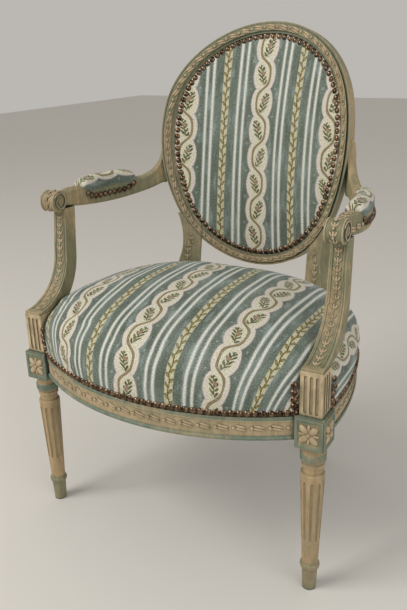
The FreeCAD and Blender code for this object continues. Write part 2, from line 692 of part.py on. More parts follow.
# Corner blocks: cut to the rails and round the leg blocks, screwed from inside
def front_brace(name, sign):
    """A corner block behind the front leg."""
    body = new_body(name)
    inner = f"({BOW} - sizes.rail_thickness - {GAP})"
    middle = f"({BOW} - sizes.front_reach)"
    side = f"(sizes.side_radius - sizes.rail_thickness - {GAP})"
    near = f"{SHOULDER} - {GAP}"
    back = f"sizes.block_side / 2 + {GAP}"
    start = "sizes.leg_spread - sizes.brace_front"
    tail = "sizes.block_side / 2 + sizes.brace_side"
    sketch = new_sketch(body, "XY_Plane", "sizes.brace_bottom")
    outline(sketch, flip(sign, [
        (start, f"{middle} - sqrt({inner}^2 - ({start})^2)", inner, 1),
        (near, f"{middle} - sqrt({inner}^2 - ({near})^2)"),
        (near, back),
        (f"{SIDE_X} + sqrt({side}^2 - ({back} - {SIDE_Y})^2)", back, side, 1),
        (f"{SIDE_X} + sqrt({side}^2 - ({tail} - {SIDE_Y})^2)", tail),
    ]))
    pad(body, sketch, "sizes.brace_height")
    return body


def rear_brace(name, sign):
    """A corner block ahead of the rear leg."""
    body = new_body(name)
    inner = f"(sizes.corner_radius - sizes.rail_thickness - {GAP})"
    turn = f"{REAR_ANGLE} * 1 deg"
    half = f"(sizes.rear_block / 2 + {GAP})"
    centre_x = f"({END_X} - sizes.rear_block / 2 * sin({turn}))"
    centre_y = f"({END_Y} + sizes.rear_block / 2 * cos({turn}))"
    wall = f"{REAR_Y} - sizes.rail_thickness / 2 - {GAP}"
    block_inner = (
        f"{centre_x} - {half} * sin({turn}) - {half} * cos({turn})",
        f"{centre_y} + {half} * cos({turn}) - {half} * sin({turn})",
    )
    tail = "(sizes.corner_turn - 5) * 1 deg"
    block_outer = (
        f"{centre_x} + {half} * sin({turn}) - {half} * cos({turn})",
        f"{centre_y} - {half} * cos({turn}) - {half} * sin({turn})",
    )
    head = "(sizes.corner_turn - 42) * 1 deg"
    sketch = new_sketch(body, "XY_Plane", "sizes.brace_bottom")
    outline(sketch, flip(sign, [
        ("sizes.stile_inner - sizes.brace_rear", wall),
        (f"{CORNER_X} + {inner} * cos({head})", f"{CORNER_Y} + {inner} * sin({head})", inner, 1),
        (f"{CORNER_X} + {inner} * cos({tail})", f"{CORNER_Y} + {inner} * sin({tail})"),
        block_outer,
        block_inner,
        ("sizes.stile_inner - 8", wall),
    ]))
    pad(body, sketch, "sizes.brace_height")
    return body


for side, sign in SIDES:
    for place, maker in (("front", front_brace), ("rear", rear_brace)):
        name = f"corner_block_{place}_{side}"
        blank = maker(name + "_blank", sign)
        drills = screw_drills(f"{place}_{side}", 0, "0.3")
        for screw in SCREWS:
            if screw[0] == f"{place}_{side}":
                mouth = screw[2] - screw[3] * MOUTH
                mouth = at(mouth.x, mouth.y, screw_z)
                drills.append(rod(mouth, screw[3], str(MOUTH), "sizes.screw_head_radius + 0.4"))
        drilled(name, blank, drills)

screws = []
for screw in SCREWS:
    start = at(screw[2].x, screw[2].y, screw_z)
    shank = rod(start, screw[3], "sizes.screw_length", "sizes.screw_radius")
    head = doc.addObject("Part::Cone", "head")
    head.Placement = Place(start - screw[3] * 0.2, Turn(UP, screw[3]))
    bind(head, Radius1="sizes.screw_head_radius", Radius2="sizes.screw_radius", Height="2.6")
    whole = doc.addObject("Part::Fuse", "screw")
    whole.Base = shank
    whole.Tool = head
    screws.append(whole)
group("corner_block_screws", screws)
group("seat_joint_pegs", [rod(start, way, PEG_LENGTH, PEG) for name, start, way in SEAT_PEGS])

# Frame of the medallion: x across, y up the rake, z towards the sitter
RAKE = mm("rake")
BEND = mm("back_bend")
MEDALLION = Place(V(0, mm("back_distance"), mm("back_height")), Turn(V(1, 0, 0), 90 - RAKE))


def in_chair(shape):
    """Moves a shape from the medallion's frame to the frame behind the front leg axes."""
    return shape.transformed(MEDALLION.toMatrix())


def on_back(x, up, depth):
    """A point of the hollow back, depth behind the surface that carries the nails."""
    turn = math.asin(x / BEND)
    reach = BEND + depth
    return V(reach * math.sin(turn), up, BEND - reach * math.cos(turn))


def toward_sitter(x):
    """The way that the hollow back faces at a place."""
    turn = math.asin(x / BEND)
    return V(-math.sin(turn), 0, math.cos(turn))


def egg(offset):
    """The four tangent arcs of the medallion, offset outwards, as centres, radii and joint angles."""
    half = mm("oval_half_width")
    large = mm("oval_side_radius")
    rise = mm("oval_egg")
    top = mm("oval_half_height") - rise
    low = mm("oval_half_height") + rise
    radius_top = (half ** 2 - 2 * large * half + top ** 2) / (2 * (top - large))
    radius_low = (half ** 2 - 2 * large * half + low ** 2) / (2 * (low - large))
    turn_top = math.atan2(top - radius_top, large - half)
    turn_low = math.atan2(low - radius_low, large - half)
    right = V(half - large, rise, 0)
    left = V(large - half, rise, 0)
    above = V(0, rise + top - radius_top, 0)
    below = V(0, rise - low + radius_low, 0)
    return (
        (right, large + offset, -turn_low, turn_top),
        (above, radius_top + offset, turn_top, math.pi - turn_top),
        (left, large + offset, math.pi - turn_top, math.pi + turn_low),
        (below, radius_low + offset, math.pi + turn_low, 2 * math.pi - turn_low),
    )


def egg_wire(offset):
    """The medallion outline as a wire."""
    arcs = []
    for centre, radius, start, end in egg(offset):
        points = [
            centre + V(math.cos(angle), math.sin(angle), 0) * radius
            for angle in (start, (start + end) / 2, end)
        ]
        arcs.append(Part.Arc(*points).toShape())
    return Part.Wire(arcs)


def egg_height(x, offset):
    """Lowest and highest place of the medallion outline at a distance from its middle."""
    spans = []
    for centre, radius, start, end in egg(offset):
        reach = x - centre.x
        if abs(reach) > radius:
            continue
        for sign in (-1, 1):
            angle = math.atan2(sign * math.sqrt(radius ** 2 - reach ** 2), reach) % (2 * math.pi)
            if any(start - 1e-9 <= angle + turn <= end + 1e-9 for turn in (0, -2 * math.pi)):
                spans.append(centre.y + sign * math.sqrt(radius ** 2 - reach ** 2))
    return min(spans), max(spans)


def prism(wire, inner=None):
    """Sweeps an outline straight through the bent back."""
    face = Part.Face(wire)
    if inner:
        face = face.cut(Part.Face(inner))
    face.translate(V(0, 0, -80))
    return face.extrude(V(0, 0, 240))


def layer(front, rear):
    """The part of space between two depths of the hollow back."""
    outer = Part.makeCylinder(BEND + rear, 800, V(0, -400, BEND), V(0, 1, 0))
    return outer.cut(Part.makeCylinder(BEND + front, 800, V(0, -400, BEND), V(0, 1, 0)))


def band(inner, outer, front, rear):
    """A ring of the medallion between two offsets and two depths."""
    return prism(egg_wire(outer), egg_wire(inner)).common(layer(front, rear))


frame_out = mm("frame_out")
frame_in = -mm("frame_in")
rebate = mm("frame_rebate")
lip = mm("frame_lip")
depth = mm("frame_depth")
ring = band(frame_in, frame_out, rebate, depth)
ring = ring.fuse(band(lip, frame_out, rebate / 3, rebate + 1))
ring = ring.fuse(band(lip + 5, frame_out - 6, -rebate / 3, rebate / 3 + 1)).removeSplitter()

crest_line = mm("crest_joint")
base_line = mm("base_joint")
BIG = 400


def box(x0, x1, y0, y1, z0, z1):
    """A plain box between limits."""
    return Part.makeBox(x1 - x0, y1 - y0, z1 - z0, V(x0, y0, z0))


def stub(centre, facing, way, grow):
    """A tenon of the medallion frame, half on each side of its joint."""
    length = mm("tenon_length")
    thick = mm("tenon_thickness")
    wide = thick * 2.2
    side = way.cross(facing)
    tenon = Part.makeBox(length + 2 * grow, wide + 2 * grow, thick + 2 * grow)
    tenon.translate(V(-length / 2 - grow, -wide / 2 - grow, -thick / 2 - grow))
    tenon.Placement = Place(centre, Turn(way, side, facing, "ZXY")).multiply(tenon.Placement)
    return tenon


side_arc = egg(frame_out / 4)[0]
low_arc = egg(frame_out / 4)[3]
crest_x = side_arc[0].x + math.sqrt(side_arc[1] ** 2 - (crest_line - side_arc[0].y) ** 2)
base_up = low_arc[0].y - math.sqrt(low_arc[1] ** 2 - base_line ** 2)
middle_depth = (rebate + depth) / 2
JOINTS = []
for sign in (-1, 1):
    JOINTS.append(("crest", sign, on_back(sign * crest_x, crest_line, middle_depth), V(0, 1, 0), crest_x))
    turn = toward_sitter(sign * base_line)
    JOINTS.append(
        ("base", sign, on_back(sign * base_line, base_up, middle_depth), V(turn.z, 0, -turn.x), base_line)
    )

crest = ring.common(box(-BIG, BIG, crest_line, BIG, -BIG, BIG))
base = ring.common(box(-base_line, base_line, -BIG, 0, -BIG, BIG))
gap = mm("joint_gap")
uprights = {}
for sign in (-1, 1):
    low, high = (base_line, BIG) if sign > 0 else (-BIG, -base_line)
    uprights[sign] = ring.common(box(low, high, -BIG, crest_line, -BIG, BIG))
back_pegs = []
for kind, sign, centre, way, x in JOINTS:
    facing = toward_sitter(sign * x)
    tenon = stub(centre, facing, way, 0)
    mortise = stub(centre, facing, way, gap)
    toward = way * (mm("tenon_length") / 4) * (-1 if kind == "crest" else sign)
    peg_start = centre + toward - facing * (depth / 2 - rebate / 2 - 0.2)
    hole = Part.makeCylinder(2.5 + gap, depth * 0.6, peg_start - facing, facing)
    back_pegs.append(Part.makeCylinder(2.5, depth * 0.6 - 2, peg_start, facing))
    if kind == "crest":
        crest = crest.fuse(tenon).cut(hole)
    else:
        base = base.fuse(tenon).cut(hole)
    uprights[sign] = uprights[sign].cut(mortise).cut(hole)


def in_back(name, shape):
    """Keeps a shape that was worked out in the medallion's frame."""
    piece = shaped(name, shape)
    piece.Placement = Place(V(0, BACK, 0), Turn()).multiply(MEDALLION)
    return piece


in_back("back_crest_rail", crest.removeSplitter())
in_back("back_base_rail", base.removeSplitter())
in_back("back_joint_pegs", Part.makeCompound(back_pegs))


def turned_leg(top, foot):
    """A turned and fluted leg between a point under its block and a point on the floor."""
    corners = [V(worth(c[0]), 0, worth(c[1])) for c in LEG_PROFILE]
    grow = (top - foot).Length - corners[-1].z + 2
    for corner in corners[LEG_PROFILE.index(SHAFT_LOW):]:
        corner.z += grow
    solid = Part.Face(Part.makePolygon(corners + [corners[0]])).revolve(V(), UP, 360)
    low = V(mm("shaft_low_radius") + 1, 0, mm("flute_bottom") + grow / 2)
    high = V(mm("shaft_top_radius") + 1, 0, mm("flute_top") + grow)
    radius = mm("flute_radius")
    flute = Part.makeCylinder(radius, (high - low).Length, low, high - low)
    flute = flute.fuse([Part.makeSphere(radius, low), Part.makeSphere(radius, high)])
    count = int(mm("flute_count"))
    flutes = []
    for index in range(count):
        copy = flute.copy()
        copy.rotate(V(), UP, 360 * index / count)
        flutes.append(copy)
    solid = solid.cut(flutes)
    axis = (top - foot).normalize()
    solid.Placement = Place(foot - axis * 2, Turn(UP, axis))
    return solid.cut(box(-BIG, BIG, -BIG, 2 * BIG, -30, 0))


# Stile: heights as shares of the drop from the medallion to the rails, each with its flare outwards
STILE_FLARE = ((-1.03, 5), (-0.9, 4), (-0.78, 3.5), (-0.71, -1), (-0.62, -3), (-0.53, 0), (-0.45, 8))


def stile(sign, grow=0):
    """The stile, in the medallion's frame, from the block up into the oval."""
    wide = mm("stile_width")
    inner = mm("stile_inner")
    drop = mm("back_height") - mm("rail_top")
    sections = []
    front = 1 - grow
    rear = depth - 1 + grow
    for share, flare in STILE_FLARE:
        up = share * drop
        outer_x = inner + wide + flare + grow
        inner_x = inner - grow
        plan = ((inner_x, front), (outer_x, front), (outer_x, rear), (inner_x, rear))
        corners = [on_back(sign * x, up, back) for x, back in plan]
        sections.append(Part.makePolygon(corners + [corners[0]]))
    return Part.makeLoft(sections, True, False)


block_low = mm("rail_bottom") - 2
block_high = mm("rail_top") + 5


def rear_leg(side, sign):
    """Makes a rear leg: turned leg, block, stile and side of the oval in one piece."""
    half = mm("rear_block") / 2
    block = box(-half, half, -half, half, block_low, block_high)
    angle = (mm("corner_turn") - 90) * sign
    block.Placement = Place(V(sign * rear_block_centre.x, rear_block_centre.y, 0), Turn(UP, angle))
    length = mm("tenon_length") + gap
    thick = mm("tenon_thickness") + 2 * gap
    for toward in (-1, 1):
        low, high = (half - length, half + 1) if toward * sign < 0 else (-half - 1, length - half)
        slot_low = worth(TENON_LOW) - gap
        slot = box(low, high, -thick / 2, thick / 2, slot_low, slot_low + mm("tenon_height") + 2 * gap)
        slot.Placement = block.Placement
        block = block.cut(slot)
    top = V(sign * rear_block_centre.x, rear_block_centre.y, block_low)
    foot = V(sign * mm("rear_foot_spread"), mm("rear_foot_back"), 0)
    leg = turned_leg(top, foot)
    recess = prism(egg_wire(lip)).common(layer(-rebate, rebate))
    upper = in_chair(uprights[sign].fuse(stile(sign).cut(recess)))
    whole = upper.fuse([block, leg])
    return whole.removeSplitter()


for side, sign in SIDES:
    blank = shaped(f"rear_leg_{side}", rear_leg(side, sign))
    drilled(f"rear_leg_{side}", blank, peg_drills((f"rear_side_{side}", f"rear_rail_{side}")))

# Arm supports: the swept console over each front post, tenoned at both ends
SUPPORT_TOP = "sizes.support_top"
AHEAD = "sizes.support_curve_ahead"
CURVE_Z = "sizes.support_curve_height"
BEND_ANGLE = "sizes.support_lean * 1 deg"


def arm_support(name, sign):
    """Makes one arm support in a frame that stands under the front leg axis."""
    body = doc.addObject("PartDesign::Body", name)
    bind(body, Placement__Base__x=f"{sign} * sizes.leg_spread", Placement__Base__y="-sizes.axis_depth")
    curve = "sizes.support_curve"
    outer = "(sizes.support_curve + sizes.support_depth)"
    rise = f"({SUPPORT_TOP} - {CURVE_Z} + {curve} * sin({BEND_ANGLE}))"
    rise_outer = f"({SUPPORT_TOP} - {CURVE_Z} + {outer} * sin({BEND_ANGLE}))"
    front = "sizes.post_side / 2"
    sketch = new_sketch(body, "YZ_Plane")
    outline(sketch, [
        (f"-{front}", "sizes.post_top"),
        (front, "sizes.post_top"),
        (
            f"sqrt({outer}^2 - ({CURVE_Z} - sizes.post_top - 8)^2) - {AHEAD}",
            "sizes.post_top + 8",
            outer,
            1,
        ),
        (f"{outer} * cos({BEND_ANGLE}) - {AHEAD}", f"{CURVE_Z} - {outer} * sin({BEND_ANGLE})"),
        (f"{outer} * cos({BEND_ANGLE}) - {AHEAD} + {rise_outer} * tan({BEND_ANGLE})", SUPPORT_TOP),
        (f"{curve} * cos({BEND_ANGLE}) - {AHEAD} + {rise} * tan({BEND_ANGLE})", SUPPORT_TOP),
        (f"{curve} * cos({BEND_ANGLE}) - {AHEAD}", f"{CURVE_Z} - {curve} * sin({BEND_ANGLE})", curve, -1),
        (f"-{front}", f"{CURVE_Z} - sqrt({curve}^2 - ({front} - {AHEAD})^2)"),
    ])
    pad(body, sketch, "sizes.support_width", both_ways=True)
    for way in (-1, 1):
        foot = f"{way} * sizes.support_width / 2"
        top = f"{way} * sizes.support_top_width / 2"
        far = f"{way} * (sizes.support_width / 2 + 20)"
        sketch = new_sketch(body, "XZ_Plane")
        low = "sizes.post_top - 1"
        high = f"{SUPPORT_TOP} + 1"
        corners = [(foot, low), (far, low), (far, high), (top, high)]
        outline(sketch, corners if way > 0 else corners[::-1])
        pocket(body, sketch, "400", both_ways=True)
    sketch = new_sketch(body, "XY_Plane", "sizes.post_top + 2")
    half = "sizes.tenon_thickness / 2"
    rectangle(sketch, "-sizes.tenon_thickness", "sizes.tenon_thickness", f"-{half}", half)
    tenon = pad(body, sketch, "sizes.tenon_length + 2")
    tenon.Reversed = True
    middle = f"({outer} + {curve}) / 2 * cos({BEND_ANGLE}) - {AHEAD} + {rise} * tan({BEND_ANGLE})"
    sketch = new_sketch(body, "XY_Plane", f"{SUPPORT_TOP} - 2")
    disc(sketch, "0", middle, PEG)
    pad(body, sketch, "sizes.arm_thickness / 2 + 2")
    doc.recompute()
    return body


for side, sign in SIDES:
    name = f"arm_support_{side}"
    PARTS[name] = arm_support(name, sign)

# Arms: sawn to a curve in plan, swept up along the oval, with a scroll at the front
ARM_BEND = 6.5 / 100 ** 3


def arm_line(back):
    """Middle of the arm in plan, and the way it runs, at a distance behind the front leg axes."""
    past = max(back - 120, 0)
    slope = -3 * ARM_BEND * past ** 2
    return V(leg_axis - ARM_BEND * past ** 3, back, 0), V(slope, 1, 0).normalize()


def rounded(centre, across, up, width, low, high, corner):
    """A rectangle with round corners, as a closed wire."""
    half = width / 2
    spots = []
    for x, z, sx, sz in ((half, low, -1, 1), (half, high, -1, -1), (-half, high, 1, -1), (-half, low, 1, 1)):
        bite = corner * (1 - math.sqrt(0.5))
        first, last = (x + sx * corner, z), (x, z + sz * corner)
        middle = (x + sx * bite, z + sz * bite)
        trio = [first, middle, last] if (sx * sz) < 0 else [last, middle, first]
        spots.append([centre + across * a + up * b for a, b in trio])
    edges = []
    for index, trio in enumerate(spots):
        edges.append(Part.Arc(*trio).toShape())
        following = spots[(index + 1) % 4]
        edges.append(Part.LineSegment(trio[2], following[0]).toShape())
    return Part.Wire(edges)


def arm_stations():
    """Distance back, underside, top and width of the arm, from the scroll to the oval."""
    low = mm("arm_bottom")
    high = low + mm("arm_thickness")
    return (
        (74, low + 5, high + 7, 25),
        (110, low + 3, high + 6, 26),
        (160, low - 4, high + 2, 28),
        (220, low - 8, high - 1, 28),
        (268, low - 6, high, 26),
        (300, low - 1, high + 1, 22),
        (318, low + 4, high + 9, 20),
        (330, low + 9, high + 23, 18),
        (338, low + 12, high + 46, 17),
        (344, low + 14, high + 84, 16),
    )


def between(stations, back, column):
    """Reads one column of a table of stations between its rows."""
    for first, last in zip(stations, stations[1:]):
        if back <= last[0]:
            share = (back - first[0]) / (last[0] - first[0])
            return first[column] + (last[column] - first[column]) * share
    return stations[-1][column]


STATIONS = arm_stations()


def arm_solid():
    """The right arm with its scroll, before its holes."""
    sections = []
    for back, low, high, width in STATIONS:
        centre, way = arm_line(back)
        across = V(way.y, -way.x, 0)
        sections.append(rounded(centre, across, UP, width, low, high, 6))
    arm = Part.makeLoft(sections, True, False)
    width = mm("scroll_width")
    hub = V(leg_axis - width / 2, mm("scroll_back"), mm("scroll_height"))
    scroll = Part.makeCylinder(mm("scroll_radius"), width, hub, V(1, 0, 0))
    eye = Part.makeCylinder(mm("scroll_radius") * 0.3, width + 4, hub - V(2, 0, 0), V(1, 0, 0))
    return arm.fuse([scroll, eye])


upper_oval = in_chair(ring.common(box(0, BIG, -BIG, crest_line, -BIG, BIG)))
lean_angle = math.radians(mm("support_lean"))
support_top_y = (
    (2 * mm("support_curve") + mm("support_depth")) / 2 * math.cos(lean_angle)
    - mm("support_curve_ahead")
    + (mm("support_top") - mm("support_curve_height") + mm("support_curve") * math.sin(lean_angle))
    * math.tan(lean_angle)
)
whole_arm = arm_solid()
support_seat = box(0, BIG, 0, support_top_y + BIG, 0, mm("support_top"))
dowel_hole = Part.makeCylinder(
    mm("peg_radius") + gap, mm("arm_thickness") / 2 + 1, V(leg_axis, support_top_y, mm("support_top") - 1)
)
front_trim = box(leg_axis - 30, leg_axis + 30, 72, 118, 540, mm("support_top"))
whole_arm = whole_arm.cut([upper_oval, front_trim, dowel_hole])
whole_arm = max(whole_arm.Solids, key=lambda solid: solid.Volume)

# Each arm is held to the oval by a screw from behind the frame
arm_end = arm_line(316)[0]
screw_rise = mm("arm_bottom") + mm("arm_thickness") * 0.75 - mm("back_height")
screw_up = screw_rise / math.cos(math.radians(RAKE))
screw_head = MEDALLION.multVec(on_back(mm("oval_half_width") + 12, screw_up, depth - 3))
screw_way = V(arm_end.x - screw_head.x, arm_end.y - screw_head.y, 0).normalize()


def arm_screw(grow, sign):
    """The screw that holds an arm, or with growth the hole for it."""
    head = V(sign * screw_head.x, screw_head.y, screw_head.z)
    way = V(sign * screw_way.x, screw_way.y, 0)
    shank = Part.makeCylinder(mm("arm_screw_radius") + grow, mm("arm_screw_length") + grow, head, way)
    wide = mm("arm_screw_head") + grow
    cap = Part.makeCylinder(wide, mm("arm_screw_head_height") + grow, head - way * grow, way)
    if grow:
        cap = cap.fuse(Part.makeCylinder(wide, 30, head - way * 30, way))
    return shank.fuse(cap)


for side, sign in SIDES:
    arm = whole_arm.cut(arm_screw(gap, 1))
    shaped(f"arm_{side}", arm, mirror=sign < 0)
    holed = PARTS[f"rear_leg_{side}"]
    tool = doc.addObject("Part::Feature", f"arm_screw_hole_{side}")
    tool.Shape = arm_screw(gap, sign)
    tool.Placement = Place(V(0, BACK, 0), Turn())
    drilled(f"rear_leg_{side}", holed, [tool])
    holed.Label = f"rear_leg_{side}_pegged"
shaped("arm_screws", Part.makeCompound([arm_screw(0, sign) for side, sign in SIDES]))


def pad_line(back):
    """Height of the nails on the sides of an arm pad."""
    share = (2 * back - mm("pad_front") - mm("pad_rear")) / (mm("pad_rear") - mm("pad_front"))
    return mm("arm_bottom") + mm("pad_nails_low") + mm("pad_nails_rise") * share ** 6


def pad_rise(back):
    """Crown of an arm pad above the arm."""
    share = (2 * back - mm("pad_front") - mm("pad_rear")) / (mm("pad_rear") - mm("pad_front"))
    return 3 + mm("pad_rise") * math.sqrt(max(1 - share ** 4, 0))


def pad_form(grow, low_of, ends):
    """A saddle over the arm: flat sides, an arched top, grown outwards."""
    sections = []
    front = mm("pad_front")
    rear = mm("pad_rear")
    for share in (0, 0.06, 0.15, 0.3, 0.5, 0.7, 0.85, 0.94, 1):
        back = front - ends + (rear - front + 2 * ends) * share
        inside = min(max(back, front), rear)
        centre, way = arm_line(back)
        across = V(way.y, -way.x, 0)
        half = between(STATIONS, back, 3) / 2 + grow
        top = between(STATIONS, back, 2)
        low = low_of(inside)
        shoulder = top + pad_rise(inside) * 0.3 + grow
        crown = top + pad_rise(inside) + grow
        points = [
            centre + across * a + UP * b
            for a, b in ((-half, low), (half, low), (half, shoulder), (0, crown), (-half, shoulder))
        ]
        edges = [
            Part.LineSegment(points[0], points[1]).toShape(),
            Part.LineSegment(points[1], points[2]).toShape(),
            Part.Arc(points[2], points[3], points[4]).toShape(),
            Part.LineSegment(points[4], points[0]).toShape(),
        ]
        sections.append(Part.Wire(edges))
    return Part.makeLoft(sections, True, False)


soft = mm("soft_gap")
cover = mm("cover_thickness")
stuffing = pad_form(-0.5, lambda back: between(STATIONS, back, 2) + soft, -3)
skin = pad_form(soft + cover, lambda back: pad_line(back) - 4, 2)
skin = skin.cut(pad_form(soft, lambda back: mm("arm_bottom") - 30, 4))
skin = max(skin.Solids, key=lambda solid: solid.Volume)


def nail(point, facing):
    """A domed nail head that lies on a surface."""
    radius = mm("nail_radius")
    rise = mm("nail_rise")
    curve = (radius ** 2 + rise ** 2) / (2 * rise)
    rim = math.degrees(math.asin(1 - rise / curve))
    head = Part.makeSphere(curve, V(0, 0, rise - curve), UP, rim, 90, 360)
    head.Placement = Place(point, Turn(UP, facing))
    return head


def spaced(points, pitch):
    """Evenly spaced places and their tangents along a fine chain of points."""
    reach = [0]
    for first, last in zip(points, points[1:]):
        reach.append(reach[-1] + (last - first).Length)
    count = max(round(reach[-1] / pitch), 1)
    places = []
    index = 0
    for step in range(count + 1):
        goal = reach[-1] * step / count
        while index < len(reach) - 2 and reach[index + 1] < goal:
            index += 1
        span = points[index + 1] - points[index]
        share = (goal - reach[index]) / max(reach[index + 1] - reach[index], 1e-9)
        places.append((points[index] + span * share, V(span).normalize()))
    return places


pitch = mm("nail_pitch")


def pad_nails():
    """Nails along both sides of the right arm pad and over its ends."""
    heads = []
    front = mm("pad_front") + mm("pad_nails_end")
    rear = mm("pad_rear") - mm("pad_nails_end")
    for way in (-1, 1):
        chain = []
        for step in range(61):
            back = front + (rear - front) * step / 60
            centre, along = arm_line(back)
            across = V(along.y, -along.x, 0)
            half = between(STATIONS, back, 3) / 2 + soft + cover
            chain.append(centre + across * way * half + UP * pad_line(back))
        for point, along in spaced(chain, pitch):
            flat = V(along.x, along.y, 0).normalize()
            heads.append(nail(point, V(flat.y, -flat.x, 0) * way))
    return heads


for side, sign in SIDES:
    shaped(f"arm_pad_stuffing_{side}", stuffing, mirror=sign < 0)
    shaped(f"arm_pad_cover_{side}", skin, mirror=sign < 0)
    shaped(f"arm_pad_nails_{side}", Part.makeCompound(pad_nails()), mirror=sign < 0)

# Seat: webbing, hessian, a domed stuffing and a cover that is nailed to the rails
bow_middle = mm("front_bow_radius") - mm("front_reach")
crown_back = mm("seat_crown_back")
rear_line = rear_face.y + mm("rail_thickness") / 2 + mm("rebate_depth")


def seat_outline(height, share, inset):
    """Outline of the seat at a height: the rails' outer faces drawn in, then scaled about the crown."""
    bow = mm("front_bow_radius") - inset
    side = mm("side_radius") - inset
    corner = mm("corner_radius") - inset
    spot = V(leg_axis, 0, 0)
    for _ in range(8):
        spot.y = bow_middle - math.sqrt(bow ** 2 - spot.x ** 2)
        spot.x = side_centre.x + math.sqrt(side ** 2 - (spot.y - side_centre.y) ** 2)
    start = math.degrees(math.atan2(spot.y - side_centre.y, spot.x - side_centre.x))
    turn = mm("side_turn")
    last = mm("corner_turn")
    right = [
        spot,
        side_centre + swing(side, (start + turn) / 2),
        side_centre + swing(side, turn),
        corner_centre + swing(corner, (turn + last) / 2),
        corner_centre + swing(corner, last),
        V(mm("stile_inner"), rear_line - inset, 0),
    ]
    left = [V(-point.x, point.y, 0) for point in reversed(right)]

    def lift(point):
        """Scales a point about the crown and raises it."""
        return V(point.x * share, crown_back + (point.y - crown_back) * share, height)

    r = [lift(point) for point in right]
    s = [lift(point) for point in left]
    front = lift(V(0, bow_middle - bow, 0))
    return Part.Wire([
        Part.Arc(s[5], front, r[0]).toShape(),
        Part.Arc(r[0], r[1], r[2]).toShape(),
        Part.Arc(r[2], r[3], r[4]).toShape(),
        Part.LineSegment(r[4], r[5]).toShape(),
        Part.LineSegment(r[5], s[0]).toShape(),
        Part.LineSegment(s[0], s[1]).toShape(),
        Part.Arc(s[1], s[2], s[3]).toShape(),
        Part.Arc(s[3], s[4], s[5]).toShape(),
    ])


# Profile of the seat: share of the height from the rebate to the crown, and share of the outline
DOME = (
    (0, 1),
    (0.08, 1.003),
    (0.17, 1.01),
    (0.3, 1.017),
    (0.43, 1.01),
    (0.54, 0.98),
    (0.64, 0.92),
    (0.74, 0.82),
    (0.84, 0.67),
    (0.925, 0.485),
    (0.977, 0.29),
    (1, 0.11),
)
REACH = mm("seat_crown") - mm("rebate_bottom")


def dome(inset, low):
    """The domed seat, drawn in by an inset, down to a height."""
    sections = [seat_outline(low, 1, inset)] if low else []
    for rise, share in DOME:
        height = mm("rebate_bottom") + 0.4 + (REACH - 0.4 - inset + cover_inset) * rise
        sections.append(seat_outline(height, share, inset))
    return Part.makeLoft(sections, True, False)


cover_inset = mm("rebate_depth") - soft - cover
post = mm("post_side") / 2
support_low = PARTS["arm_support_right"].Shape.common(
    box(0, BIG, -BIG, BIG, mm("post_top") - 1, mm("post_top") + 26)
)
support_back = support_low.BoundBox.YMax - BACK


def clear_of_frame(shape, extra):
    """Cuts a soft piece round the posts, the arm supports, the stiles and the rear blocks."""
    near = leg_axis - post - extra
    half = mm("rear_block") / 2 + extra
    tools = []
    for _, sign in SIDES:
        x0, x1 = (near, BIG) if sign > 0 else (-BIG, -near)
        tools.append(box(x0, x1, -BIG, post + extra, mm("block_top") - 40, BIG * 2))
        inner = leg_axis - half_block - extra
        x2, x3 = (inner, BIG) if sign > 0 else (-BIG, -inner)
        tools.append(box(x2, x3, -BIG, half_block + extra, 0, mm("block_top") + extra))
        tools.append(box(x0, x1, 0, support_back + extra, mm("post_top") - extra, BIG * 2))
        tools.append(in_chair(stile(sign, extra)))
        block = box(-half, half, -half, half, block_low - extra, block_high + extra)
        angle = (mm("corner_turn") - 90) * sign
        block.Placement = Place(V(sign * rear_block_centre.x, rear_block_centre.y, 0), Turn(UP, angle))
        tools.append(block)
    for tool in tools:
        shape = max(shape.cut(tool).Solids, key=lambda solid: solid.Volume)
    return shape


web_low = mm("rail_top")
web = mm("web_thickness")
cloth = mm("cloth_thickness")
hessian_low = web_low + 2 * web + 2 * soft
stuffing_low = hessian_low + cloth + soft
seat_cover = dome(cover_inset, 0).cut(dome(cover_inset + cover, mm("rebate_bottom") - 30))
shaped("seat_cover", clear_of_frame(seat_cover, 0.4))
filling = dome(cover_inset + cover + soft, 0).cut(box(-BIG, BIG, -BIG, BIG * 2, 0, stuffing_low))
shaped("seat_stuffing", clear_of_frame(filling, 0.8))


def sheet_of(low, thick, inset):
    """A flat cloth with the outline of the seat."""
    face = Part.Face(seat_outline(low, 1, inset))
    return face.extrude(V(0, 0, thick))


shaped("seat_hessian", clear_of_frame(sheet_of(hessian_low, cloth, mm("rebate_depth") + 3), 0.8))
bottom = sheet_of(mm("rail_bottom") - cloth, cloth, 5)
blocks = []
for side, sign in SIDES:
    half = half_block + 0.5
    blocks.append(box(sign * leg_axis - half, sign * leg_axis + half, -half, half, 0, BIG))
    half = mm("rear_block") / 2 + 0.5
    block = box(-half, half, -half, half, 0, BIG)
    angle = (mm("corner_turn") - 90) * sign
    block.Placement = Place(V(sign * rear_block_centre.x, rear_block_centre.y, 0), Turn(UP, angle))
    blocks.append(block)
shaped("bottom_cloth", max(bottom.cut(blocks).Solids, key=lambda solid: solid.Volume))


def strap(start, length, across):
    """One strip of seat webbing as a box object."""
    piece = doc.addObject("Part::Box", "strap")
    piece.Placement = Place(start, Turn())
    if across:
        bind(piece, Width="sizes.web_width", Height="sizes.web_thickness")
        piece.Length = length
    else:
        bind(piece, Length="sizes.web_width", Height="sizes.web_thickness")
        piece.Width = length
    return piece


